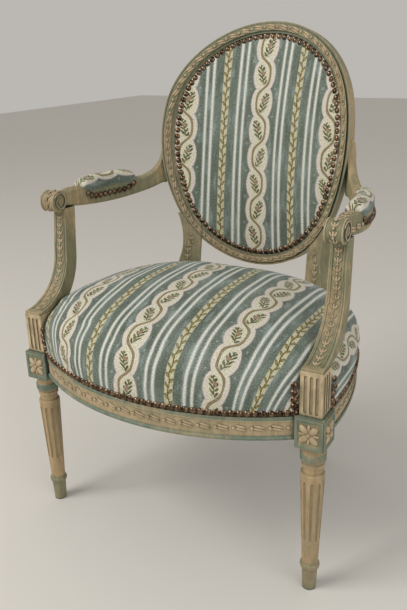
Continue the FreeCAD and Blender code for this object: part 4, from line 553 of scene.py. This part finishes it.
def blow_up(piece, held, pressure, most):
    """Fills the cover as cloth under pressure; the held points stay, and no point moves past most."""
    rest = points_of(piece)
    group = piece.vertex_groups.new(name="held")
    group.add([int(i) for i in np.nonzero(held(rest))[0]], 1, "REPLACE")
    cloth = piece.modifiers.new("cloth", "CLOTH")
    cloth.settings.quality = 5
    cloth.settings.mass = 0.3
    cloth.settings.tension_stiffness = 25
    cloth.settings.compression_stiffness = 25
    cloth.settings.bending_stiffness = 3
    cloth.settings.vertex_group_mass = "held"
    cloth.settings.use_pressure = True
    cloth.settings.uniform_pressure_force = pressure
    cloth.settings.effector_weights.gravity = 0
    cloth.point_cache.frame_start = 1
    cloth.point_cache.frame_end = 20
    for step in range(1, 21):
        bpy.context.scene.frame_set(step)
    apply_all(piece)
    bpy.context.scene.frame_set(1)
    shift = points_of(piece) - rest
    length = np.linalg.norm(shift, axis=1, keepdims=True)
    shift *= np.minimum(1, most / np.maximum(length, 1e-9))
    piece.data.vertices.foreach_set("co", (rest + shift).ravel())
    piece.vertex_groups.clear()


def map_cloth(piece, way):
    """Lays the cloth map on a piece; way gives across and along, in metres, for its points."""
    across, along = way(points_of(piece))
    corner = np.empty(len(piece.data.loops), dtype=int)
    piece.data.loops.foreach_get("vertex_index", corner)
    layer = piece.data.uv_layers.new(name="cloth")
    layer.data.foreach_set("uv", np.column_stack([across[corner], along[corner]]).ravel())


seat_low, seat_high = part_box("seat_cover")
seat = copy_solid("seat_cushion", "seat_stuffing")
bpy.ops.object.mode_set(mode="EDIT")
bpy.ops.mesh.select_all(action="DESELECT")
shell = bmesh.from_edit_mesh(seat.data)
hem = min(v.co.z for v in shell.verts)
for face in shell.faces:
    face.select = face.normal.z < -0.95 and face.calc_center_median().z < hem + 0.001
bmesh.update_edit_mesh(seat.data)
bpy.ops.mesh.extrude_region_move(TRANSFORM_OT_translate={"value": (0, 0, seat_low.z - hem + 0.002)})
bpy.ops.object.mode_set(mode="OBJECT")
remesh(seat, 0.0052)
ease(seat, 0.6, 6)
nailed_hem = 0.012
blow_up(seat, lambda p: p[:, 2] < seat_low.z + nailed_hem, 3.5, 0.0045)
crown_y = -0.0122
half_long = 0.262
half_wide = 0.296
squareness = 2.4
fall = (0, 0.02, 0.06, 0.14)
cloth_over_fall = (0, 0.001, 0.018, 0.09)


def seat_cloth(points):
    """The cloth is straight over the crown and runs down the sides without gathering."""
    x = points[:, 0]
    y = points[:, 1] - crown_y
    extra = np.interp(seat_high.z - points[:, 2], fall, cloth_over_fall)
    nx = np.sign(x) * (np.abs(x) / half_wide) ** squareness
    ny = np.sign(y) * (np.abs(y) / half_long) ** squareness
    long = np.maximum(np.hypot(nx, ny), 1e-6)
    return x + extra * nx / long, y + extra * ny / long


map_cloth(seat, seat_cloth)
refine(seat)
give(seat, velvet("seat_velvet", 0.015, 0.02, (0.075, 0.1, 0.072), (0.165, 0.2, 0.17)))
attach(seat, "root")
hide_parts("seat_cover", "seat_stuffing")

# Bottom cloth: one layer of black cotton, cut round the four legs, drawn flat under the seat and
# tacked to the lower edges of the rails, where it hides the webbing and the corner blocks.
bottom = copy_solid("bottom_cloth_panel", "bottom_cloth")
give(bottom, plain_weave("dust_cloth", (0.05, 0.048, 0.045), (0.02, 0.02, 0.02), 0.0009))
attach(bottom, "root")
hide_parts("bottom_cloth")

# Back cushion: a shallow crowned pad in the rebate of the oval, with the band of the cloth on the
# middle of the back. The outer back is a single layer of the same cloth, stretched over the oval.
oval_bend = 0.3076
oval_rake = math.radians(8.72)
oval_middle = Vector((0, 0.2151, 0.664))
oval_half = 0.1688
oval_side = 0.322
oval_rise = 0.0145
oval_tall = 0.2085


def oval_point(turn, offset):
    """A point of the oval in its own plane, all round for turn from 0 to 1."""
    top = oval_tall - oval_rise
    low = oval_tall + oval_rise
    arcs = []
    for tall in (top, low):
        radius = (oval_half ** 2 - 2 * oval_side * oval_half + tall ** 2) / (2 * (tall - oval_side))
        arcs.append((radius, math.atan2(tall - radius, oval_side - oval_half)))
    (top_radius, top_turn), (low_radius, low_turn) = arcs
    spans = (
        ((oval_half - oval_side, oval_rise), oval_side, -low_turn, top_turn),
        ((0, oval_rise + top - top_radius), top_radius, top_turn, math.pi - top_turn),
        ((oval_side - oval_half, oval_rise), oval_side, math.pi - top_turn, math.pi + low_turn),
        ((0, oval_rise - low + low_radius), low_radius, math.pi + low_turn, 2 * math.pi - low_turn),
    )
    lengths = [(end - start) * (radius + offset) for _, radius, start, end in spans]
    reach = (turn % 1) * sum(lengths)
    for (centre, radius, start, end), length in zip(spans, lengths):
        if reach <= length:
            break
        reach -= length
    angle = start + reach / (radius + offset)
    return centre[0] + (radius + offset) * math.cos(angle), centre[1] + (radius + offset) * math.sin(angle)


def on_back(x, up, depth):
    """A point of the hollow back, at a depth behind the surface that carries the nails."""
    turn = math.asin(x / oval_bend)
    reach = oval_bend + depth
    ahead = oval_bend - reach * math.cos(turn)
    return Vector((
        reach * math.sin(turn),
        oval_middle.y + up * math.sin(oval_rake) - ahead * math.cos(oval_rake),
        oval_middle.z + up * math.cos(oval_rake) + ahead * math.sin(oval_rake),
    ))


def ahead_of(points):
    """How far points are in front of the middle of the back, square to its rake."""
    back = points[:, 1] - oval_middle.y
    high = points[:, 2] - oval_middle.z
    return high * math.sin(oval_rake) - back * math.cos(oval_rake)


def flat_place(points):
    """Across and up on the unrolled hollow back for points near it."""
    back = points[:, 1] - oval_middle.y
    high = points[:, 2] - oval_middle.z
    up = back * math.sin(oval_rake) + high * math.cos(oval_rake)
    return oval_bend * np.arctan2(points[:, 0], oval_bend - ahead_of(points)), up


def join_loops(mesh, loops):
    """Faces from each closed loop of points to the next one."""
    for first, last in zip(loops, loops[1:]):
        for index in range(len(first)):
            after = (index + 1) % len(first)
            mesh.faces.new((first[index], first[after], last[after], last[index]))


def new_piece(name, mesh):
    """A piece from a closed mesh, with its faces turned outwards."""
    bmesh.ops.recalc_face_normals(mesh, faces=mesh.faces)
    data = bpy.data.meshes.new(name)
    mesh.to_mesh(data)
    mesh.free()
    piece = bpy.data.objects.new(name, data)
    bpy.context.scene.collection.objects.link(piece)
    for face in data.polygons:
        face.use_smooth = True
    return piece


# The cushion's front swells by its crown, and its flat rear lies in the rebate
cushion_rings = 30
cushion_points = 144
cushion_edge = 0.0056
cushion_crown = 0.021
cushion_front = 0.0004
cushion_rear = 0.0032
mesh = bmesh.new()
loops = []
fronts = [(ring / cushion_rings, True) for ring in range(1, cushion_rings + 1)]
rears = [(ring / cushion_rings, False) for ring in range(cushion_rings, 0, -2)]
for share, front in fronts + rears:
    depth = cushion_rear
    if front:
        depth = cushion_front - cushion_crown * (1 - share ** 2) ** 0.9
    loop = []
    for index in range(cushion_points):
        x, up = oval_point(index / cushion_points, cushion_edge)
        loop.append(mesh.verts.new(on_back(x * share, up * share, depth)))
    loops.append(loop)
join_loops(mesh, loops)
for loop, depth in ((loops[0], cushion_front - cushion_crown), (loops[-1], cushion_rear)):
    middle = mesh.verts.new(on_back(0, 0, depth))
    for index in range(cushion_points):
        mesh.faces.new((middle, loop[index], loop[(index + 1) % cushion_points]))
back = new_piece("back_cushion", mesh)
nailed_edge = 0.004
flat_rear = 0.0026


def back_held(points):
    """The edge under the nails and the whole rear are held."""
    across, up = flat_place(points)
    edge = (across / (oval_half - nailed_edge)) ** 2 + (up / (oval_tall - nailed_edge)) ** 2 > 1
    depth = np.hypot(points[:, 0], oval_bend - ahead_of(points)) - oval_bend
    return edge | (depth > flat_rear)


blow_up(back, back_held, 3, 0.003)
map_cloth(back, flat_place)
refine(back)
back_velvet = velvet("back_velvet", 0, 0.02, (0.085, 0.11, 0.08), (0.155, 0.19, 0.16))
give(back, back_velvet)
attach(back, "root")
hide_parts("back_cover", "back_stuffing")

outer = copy_solid("outer_back_panel", "outer_back_cover")
map_cloth(outer, flat_place)
give(outer, back_velvet)
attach(outer, "root")
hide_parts("outer_back_cover")

# Arm pads: a hand's length of stuffing on top of each arm, covered with the cloth's vine band and
# nailed low on both sides and round both ends.
pad_stations = 40
pad_spokes = 20
pad_inset = 0.0012
pad_core = 0.018
pad_girth = 0.025
pad_turn = 100
for side, sign in (("left", -1), ("right", 1)):
    cover = BVHTree.FromObject(nodes[f"arm_pad_cover_{side}"], bpy.context.evaluated_depsgraph_get())
    low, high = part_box(f"arm_pad_cover_{side}")
    mesh = bmesh.new()
    loops = []
    line_x = []
    line_y = []
    for station in range(pad_stations + 1):
        y = low.y + pad_inset + (high.y - low.y - 2 * pad_inset) * station / pad_stations
        near = cover.ray_cast(Vector((0, y, low.z + pad_girth)), Vector((sign, 0, 0)))[0]
        far = cover.ray_cast(Vector((sign * 0.4, y, low.z + pad_girth)), Vector((-sign, 0, 0)))[0]
        core = Vector(((near.x + far.x) / 2, y, low.z + pad_core))
        line_x.append(core.x)
        line_y.append(core.y)
        loop = []
        for spoke in range(pad_spokes + 1):
            angle = math.radians(-pad_turn + 2 * pad_turn * spoke / pad_spokes)
            way = Vector((math.sin(angle), 0, math.cos(angle)))
            hit = cover.ray_cast(core + way * 0.1, -way)[0]
            loop.append(mesh.verts.new(hit if hit else core + way * 0.014))
        loops.append(loop)
    join_loops(mesh, loops)
    mesh.faces.new(loops[0])
    mesh.faces.new(loops[-1])
    pad = new_piece(f"arm_pad_{side}", mesh)
    remesh(pad, 0.003)
    ease(pad, 0.5, 3)
    blow_up(pad, lambda p: p[:, 2] < low.z + nailed_hem, 3, 0.003)

    def pad_cloth(points):
        """The band lies along the top and the cloth runs straight down both sides."""
        off = points[:, 0] - np.interp(points[:, 1], line_y, line_x)
        drop = np.maximum(high.z - 0.006 - points[:, 2], 0)
        return off + np.sign(off) * drop * np.minimum(np.abs(off) / 0.012, 1), points[:, 1]

    map_cloth(pad, pad_cloth)
    give(pad, back_velvet)
    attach(pad, "root")
    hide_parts(f"arm_pad_cover_{side}", f"arm_pad_stuffing_{side}")

# Nails: domed heads of antiqued bronze, tarnished dark in some patches and rubbed brighter in others.
bronze, tree, shader = new_material("antique_bronze")
shader.inputs["Metallic"].default_value = 1
tarnish = step_up(tree, noise(tree, node(tree, "TexCoord").outputs["Object"], 120, 3), 0.35, 0.65)
bronze_tone = mix_colour(tree, tarnish, (0.06, 0.032, 0.02), (0.25, 0.165, 0.1))
tree.links.new(bronze_tone, shader.inputs["Base Color"])
tree.links.new(plus(tree, times(tree, tarnish, 0.12), 0.24), shader.inputs["Roughness"])
for name in nodes:
    if "nails" in name:
        give(nodes[name], bronze)

# Carving: the band round the oval, the band along the rails and the strings of husks down the arm
# supports and stiles are cut in the beech. Each stands up to 3 mm proud and has cream paint on it.
carved_paint = worn_paint("carved_paint", (0.56, 0.43, 0.275), (0.13, 0.11, 0.065), (0.38, 0.29, 0.175), 0.5)
ribbon_pitch = 0.028
husk_pitch = 0.0142
oval_band = 0.0172
band_height = 0.3088
clear_of_chair = 0.6
backwards = Vector((0, 1, 0))


def skin(*names):
    """The faces of some CAD nodes as one surface to cast on."""
    points = []
    faces = []
    for name in names:
        first = len(points)
        points.extend(v.co.copy() for v in nodes[name].data.vertices)
        faces.extend([first + i for i in face.vertices] for face in nodes[name].data.polygons)
    return BVHTree.FromPolygons(points, faces)


def cast(surface, start, way):
    """The point where a ray meets a surface, and the surface's normal there."""
    return surface.ray_cast(start, way)[:2]


def cast_run(surface, starts, way):
    """Points of a surface in front of a run of starts, with the surface's normal at each."""
    hits = [cast(surface, start, way(start) if callable(way) else way) for start in starts]
    return [hit for hit in hits if hit[0]]


def stations(hits, pitch, closed=False):
    """Frames spaced evenly along a run: X along it, Z out of the surface."""
    if closed:
        hits = hits + hits[:1]
    points = [point for point, _ in hits]
    lengths = [0]
    for first, last in zip(points, points[1:]):
        lengths.append(lengths[-1] + (last - first).length)
    count = max(int(round(lengths[-1] / pitch)), 1)
    frames = []
    for index in range(count):
        place = (index + 0.5) * lengths[-1] / count
        span = next(i for i in range(len(lengths) - 1) if lengths[i + 1] >= place)
        share = (place - lengths[span]) / max(lengths[span + 1] - lengths[span], 1e-9)
        origin = points[span].lerp(points[span + 1], share)
        up = hits[span][1].lerp(hits[span + 1][1], share).normalized()
        along = (points[span + 1] - points[span]).normalized()
        across = up.cross(along).normalized()
        along = across.cross(up)
        frames.append(Matrix.Translation(origin) @ Matrix((along, across, up)).transposed().to_4x4())
    return frames


def drop_shape(size, x=0.0, y=0.0, turn=0.0, segments=8, rings=5):
    """A flattened drop, made from a sphere: the grain of all the carved units."""
    bpy.ops.mesh.primitive_uv_sphere_add(segments=segments, ring_count=rings, radius=0.5)
    drop = bpy.context.object
    drop.data.transform(
        Matrix.Translation((x, y, 0)) @ Matrix.Rotation(turn, 4, "Z") @ Matrix.Diagonal((*size, 1))
        @ Matrix.Rotation(math.pi / 2, 4, "Y")
    )
    return drop


def one_unit(name, drops, material=None):
    """Joins the drops of a carved unit."""
    bpy.ops.object.select_all(action="DESELECT")
    for drop in drops:
        drop.select_set(True)
    bpy.context.view_layer.objects.active = drops[0]
    if len(drops) > 1:
        bpy.ops.object.join()
    drops[0].name = name
    for face in drops[0].data.polygons:
        face.use_smooth = True
    if material:
        give(drops[0], material)
    return drops[0]


def carve(name, unit, frames, scale=1):
    """One piece with a copy of the unit at every frame."""
    copies = []
    for frame_matrix in frames:
        copy = bpy.data.objects.new(name, unit.data.copy())
        copy.data.transform(frame_matrix @ Matrix.Scale(scale, 4))
        bpy.context.scene.collection.objects.link(copy)
        copies.append(copy)
    piece = one_unit(name, copies)
    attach(piece, "root")
    return piece


# The ribbon unit: two slanting folds side by side and a bead before the next two
fold = (0.0155, 0.0042, 0.0040)
fold_slant = math.radians(-14)
ribbon = one_unit("ribbon_unit", [
    drop_shape(fold, x=-0.003, y=0.0017, turn=fold_slant),
    drop_shape(fold, x=-0.003, y=-0.0017, turn=fold_slant),
    drop_shape((0.0052, 0.0052, 0.0050), x=0.0098),
], carved_paint)
frame_skin = skin("back_crest_rail", "back_base_rail", "rear_leg_left", "rear_leg_right")
oval_starts = []
for index in range(240):
    x, up = oval_point(index / 240, oval_band)
    oval_starts.append(on_back(x, up, -0.05))


def into_back(start):
    """The way straight into the hollow back."""
    centre = on_back(0, 0, -oval_bend)
    rise = Vector((0, math.sin(oval_rake), math.cos(oval_rake)))
    out = start - centre
    return (out - rise * out.dot(rise)).normalized()


oval_run = cast_run(frame_skin, oval_starts, into_back)
carve("oval_carving", ribbon, stations(oval_run, 0.0268, closed=True), 1.16)

front_starts = [Vector((x / 1000, -clear_of_chair, band_height)) for x in range(-238, 239, 2)]
front_run = cast_run(skin("front_rail"), front_starts, backwards)
carve("front_rail_carving", ribbon, stations(front_run, ribbon_pitch), 1.28)
for side, sign in (("left", -1), ("right", 1)):
    starts = [Vector((sign * clear_of_chair, y / 1000, band_height)) for y in range(-150, 160, 2)]
    side_run = cast_run(skin(f"side_rail_{side}"), starts, Vector((-sign, 0, 0)))
    carve(f"side_rail_carving_{side}", ribbon, stations(side_run, ribbon_pitch), 1.28)

# The husk unit: three pointed leaves and a bead under them
leaf_turn = math.radians(32)
husk = one_unit("husk_unit", [
    drop_shape((0.0078, 0.0034, 0.0030), x=-0.0012, segments=6, rings=4),
    drop_shape((0.0070, 0.0030, 0.0026), x=-0.0008, y=0.0026, turn=leaf_turn, segments=6, rings=4),
    drop_shape((0.0070, 0.0030, 0.0026), x=-0.0008, y=-0.0026, turn=-leaf_turn, segments=6, rings=4),
    drop_shape((0.0034, 0.0034, 0.0034), x=0.0048, segments=6, rings=4),
], carved_paint)


def middle_run(surface, heights, low_x, high_x):
    """Points down the middle of an upright piece's front, each with the piece's half width."""
    run = []
    for z in heights:
        places = [low_x + (high_x - low_x) * step / 60 for step in range(61)]
        found = [x for x in places if cast(surface, Vector((x, -clear_of_chair, z)), backwards)[0]]
        if found:
            x = (min(found) + max(found)) / 2
            point, normal = cast(surface, Vector((x, -clear_of_chair, z)), backwards)
            if point:
                run.append((point, normal, (max(found) - min(found)) / 2))
    return run


def strand(name, runs, radius, material):
    """Raised beads of round section along runs of points, half sunk and closed at their ends."""
    mesh = bmesh.new()
    for hits in runs:
        loops = []
        for index, (point, normal) in enumerate(hits):
            before = hits[max(index - 1, 0)][0]
            after = hits[min(index + 1, len(hits) - 1)][0]
            along = (after - before).normalized()
            across = normal.cross(along).normalized()
            loop = []
            for step in range(6):
                angle = 2 * math.pi * step / 6
                away = across * math.cos(angle) + normal * math.sin(angle)
                loop.append(mesh.verts.new(point + away * radius))
            loops.append(loop)
        join_loops(mesh, loops)
        mesh.faces.new(loops[0])
        mesh.faces.new(loops[-1])
    piece = new_piece(name, mesh)
    give(piece, material)
    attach(piece, "root")


edge_bead = 0.0015
edge_inset = 0.0032
for side, sign in (("left", -1), ("right", 1)):
    support_skin = skin(f"arm_support_{side}")
    found = middle_run(
        support_skin, [z / 1000 for z in range(412, 576, 3)], *sorted((sign * 0.21, sign * 0.345))
    )
    run = [(point, normal) for point, normal, _ in found]
    carve(f"support_carving_{side}", husk, stations(run, husk_pitch), 1.4)
    edges = []
    for way in (-1, 1):
        starts = [
            Vector((point.x + way * (half - edge_inset), -clear_of_chair, point.z))
            for point, _, half in found
        ]
        edges.append(cast_run(support_skin, starts, backwards))
    strand(f"support_edge_{side}", edges, edge_bead, green_paint)
    found = middle_run(
        skin(f"rear_leg_{side}"), [z / 1000 for z in range(395, 486, 3)], *sorted((sign * 0.11, sign * 0.165))
    )
    run = [(point, normal) for point, normal, _ in found]
    carve(f"stile_carving_{side}", husk, stations(run, husk_pitch), 1.4)

# Rosette blocks: the square head of each front leg is a framed panel on its front and its outer
# face, with a four-petalled rosette cut in the panel and blue-green paint on its frame.
blue_paint = worn_paint("blue_paint", (0.15, 0.2, 0.155), (0.07, 0.1, 0.08), (0.24, 0.25, 0.17), 0.7)
block_middle = 0.3045
leg_line = -0.1802
petals = []
for turn in (math.pi / 4, 3 * math.pi / 4, 5 * math.pi / 4, 7 * math.pi / 4):
    x = 0.0108 * math.cos(turn)
    y = 0.0108 * math.sin(turn)
    petals.append(drop_shape((0.0205, 0.0125, 0.0072), x, y, turn, segments=10, rings=7))
for turn in (0, math.pi / 2, math.pi, 3 * math.pi / 2):
    x = 0.0115 * math.cos(turn)
    y = 0.0115 * math.sin(turn)
    petals.append(drop_shape((0.0130, 0.0060, 0.0052), x, y, turn))
petals.append(drop_shape((0.0080, 0.0080, 0.0105), segments=10, rings=6))
rosette = one_unit("rosette_unit", petals, carved_paint)
bpy.ops.mesh.primitive_cube_add(size=1)
plate = bpy.context.object
plate.data.transform(Matrix.Diagonal((0.0455, 0.0520, 0.0036, 1)))
bpy.ops.object.mode_set(mode="EDIT")
bpy.ops.mesh.select_all(action="DESELECT")
shell = bmesh.from_edit_mesh(plate.data)
for face in shell.faces:
    face.select = face.normal.z > 0.9
bmesh.update_edit_mesh(plate.data)
bpy.ops.mesh.inset(thickness=0.0048, depth=0)
bpy.ops.mesh.inset(thickness=0.0012, depth=-0.0014)
bpy.ops.object.mode_set(mode="OBJECT")
bevel = plate.modifiers.new("worn", "BEVEL")
bevel.width = 0.0006
bevel.segments = 2
apply_all(plate)
give(plate, blue_paint, green_paint)
for face in plate.data.polygons:
    if face.normal.z > 0.9 and face.center.z < 0.0012:
        face.material_index = 1
for side, sign in (("left", -1), ("right", 1)):
    leg_skin = skin(f"front_leg_{side}")
    frames = []
    for start, way in (
        (Vector((sign * 0.270, -clear_of_chair, block_middle)), backwards),
        (Vector((sign * clear_of_chair, leg_line, block_middle)), Vector((-sign, 0, 0))),
    ):
        point, normal = cast(leg_skin, start, way)
        up = Vector((0, 0, 1))
        across = up.cross(normal).normalized()
        frames.append(Matrix.Translation(point) @ Matrix((across, up, normal)).transposed().to_4x4())
    carve(f"rosettes_{side}", rosette, frames)
    carve(f"block_frames_{side}", plate, frames)

# Scrolls: each arm ends in a rolled scroll with a volute on both cheeks, husks and edge beads over
# its front, and husks and a leaf on the arm behind it.
cream_paint = worn_paint("cream_paint", (0.5, 0.41, 0.27), (0.12, 0.1, 0.06), (0.4, 0.28, 0.19), 0.5)
scroll_y = leg_line + 0.070
scroll_z = 0.598
volute_start = math.radians(150)
volute_sweep = 2 * math.pi * 1.9
volute_reach = 0.0158
volute_eye = 0.0018
volute_bead = 0.0012
leaf_height = 0.594
above_arm = 0.7
downwards = Vector((0, 0, -1))
for side, sign in (("left", -1), ("right", 1)):
    arm_skin = skin(f"arm_{side}")
    cheeks = []
    for start_x, way in ((clear_of_chair, -1), (0, 1)):
        start = Vector((sign * start_x, scroll_y, scroll_z))
        cheeks.append(cast(arm_skin, start, Vector((sign * way, 0, 0))))
    volutes = []
    for hit, out in cheeks:
        run = []
        for step in range(61):
            angle = volute_start - volute_sweep * step / 60
            reach = volute_reach * (1 - step / 60) + volute_eye
            run.append((hit + Vector((0, math.cos(angle) * reach, math.sin(angle) * reach)), out))
        volutes.append(run)
    strand(f"volutes_{side}", volutes, volute_bead, cream_paint)
    outer_x, inner_x = (hit.x for hit, _ in cheeks)
    middle_x = (outer_x + inner_x) / 2
    half = abs(outer_x - inner_x) / 2
    run = []
    edges = [[], []]
    for step in range(24):
        angle = math.radians(70 + 170 * step / 23)
        start = Vector((middle_x, scroll_y + math.cos(angle) * 0.06, scroll_z + math.sin(angle) * 0.06))
        way = Vector((0, -math.cos(angle), -math.sin(angle)))
        run.append(cast(arm_skin, start, way))
        for edge, shift in zip(edges, (-1, 1)):
            edge += cast_run(arm_skin, [start + Vector((shift * (half - 0.0026), 0, 0))], way)
    carve(f"scroll_carving_{side}", husk, stations(run[::-1], husk_pitch), 1.45)
    strand(f"scroll_edge_{side}", edges, edge_bead, cream_paint)
    top_run = []
    for back in range(-98, -38, 3):
        places = [sign * (0.25 + 0.04 * step / 40) for step in range(41)]
        found = [x for x in places if cast(arm_skin, Vector((x, back / 1000, above_arm)), downwards)[0]]
        middle = (min(found) + max(found)) / 2
        top_run.append(cast(arm_skin, Vector((middle, back / 1000, above_arm)), downwards))
    carve(f"arm_carving_{side}", husk, stations(top_run, husk_pitch), 1.45)
    starts = [Vector((sign * clear_of_chair, back / 1000, leaf_height)) for back in range(-84, -38, 3)]
    cheek_run = cast_run(arm_skin, starts, Vector((-sign, 0, 0)))
    carve(f"arm_leaf_{side}", ribbon, stations(cheek_run, 0.0250), 1.3)

for unit in (ribbon, husk, rosette, plate):
    bpy.data.objects.remove(unit)

# Floor and studio: a pale sweep of floor, a large soft lamp to the left and above, a weaker one to
# the right, and even light from the room.
bpy.ops.mesh.primitive_plane_add(size=14, location=(0, 3, 0))
floor = bpy.context.object
floor.name = "floor"
pale, tree, shader = new_material("pale_floor")
shader.inputs["Base Color"].default_value = (0.7, 0.68, 0.64, 1)
shader.inputs["Roughness"].default_value = 0.8
give(floor, pale)
world = bpy.data.worlds.new("studio")
bpy.context.scene.world = world
world.use_nodes = True
world.node_tree.nodes["Background"].inputs["Color"].default_value = (0.9, 0.87, 0.82, 1)
world.node_tree.nodes["Background"].inputs["Strength"].default_value = 0.55


def soft_lamp(name, place, target, size, watts, colour):
    """A square lamp that faces a point."""
    bpy.ops.object.light_add(type="AREA", location=place)
    lamp = bpy.context.object
    lamp.name = name
    lamp.data.size = size
    lamp.data.energy = watts
    lamp.data.color = colour
    lamp.rotation_euler = (Vector(target) - Vector(place)).to_track_quat("-Z", "Y").to_euler()


soft_lamp("key", (-1.6, -2.0, 2.6), (0, 0, 0.45), 1.6, 62, (1, 0.97, 0.92))
soft_lamp("fill", (2.4, -1.2, 1.6), (0, 0, 0.5), 2.2, 22, (0.95, 0.98, 1))

# Camera at the photograph's place: a little above the back's middle, looking down over the
# right front leg. The focal length is in pixels of a picture 610 high.
camera_place = (0.587856, -1.061826, 0.86)
look_down = 0.361267
look_along = (-0.49884, 0.86669, 0)
tilt = -0.0288327
focal = 690.7346
picture_high = 610
sensor = 36
bpy.ops.object.camera_add(location=camera_place)
camera = bpy.context.object
camera.name = "camera"
level = Vector(look_along).normalized()
ahead = level * math.cos(look_down) - Vector((0, 0, 1)) * math.sin(look_down)
turned = ahead.to_track_quat("-Z", "Y").to_matrix().to_4x4()
turned = turned @ Matrix.Rotation(tilt, 4, "Z")
camera.matrix_world = Matrix.Translation(camera.location) @ turned
camera.data.sensor_fit = "VERTICAL"
camera.data.sensor_height = sensor
camera.data.lens = focal / picture_high * sensor
bpy.context.scene.camera = camera
bpy.context.scene.view_settings.view_transform = "Standard"
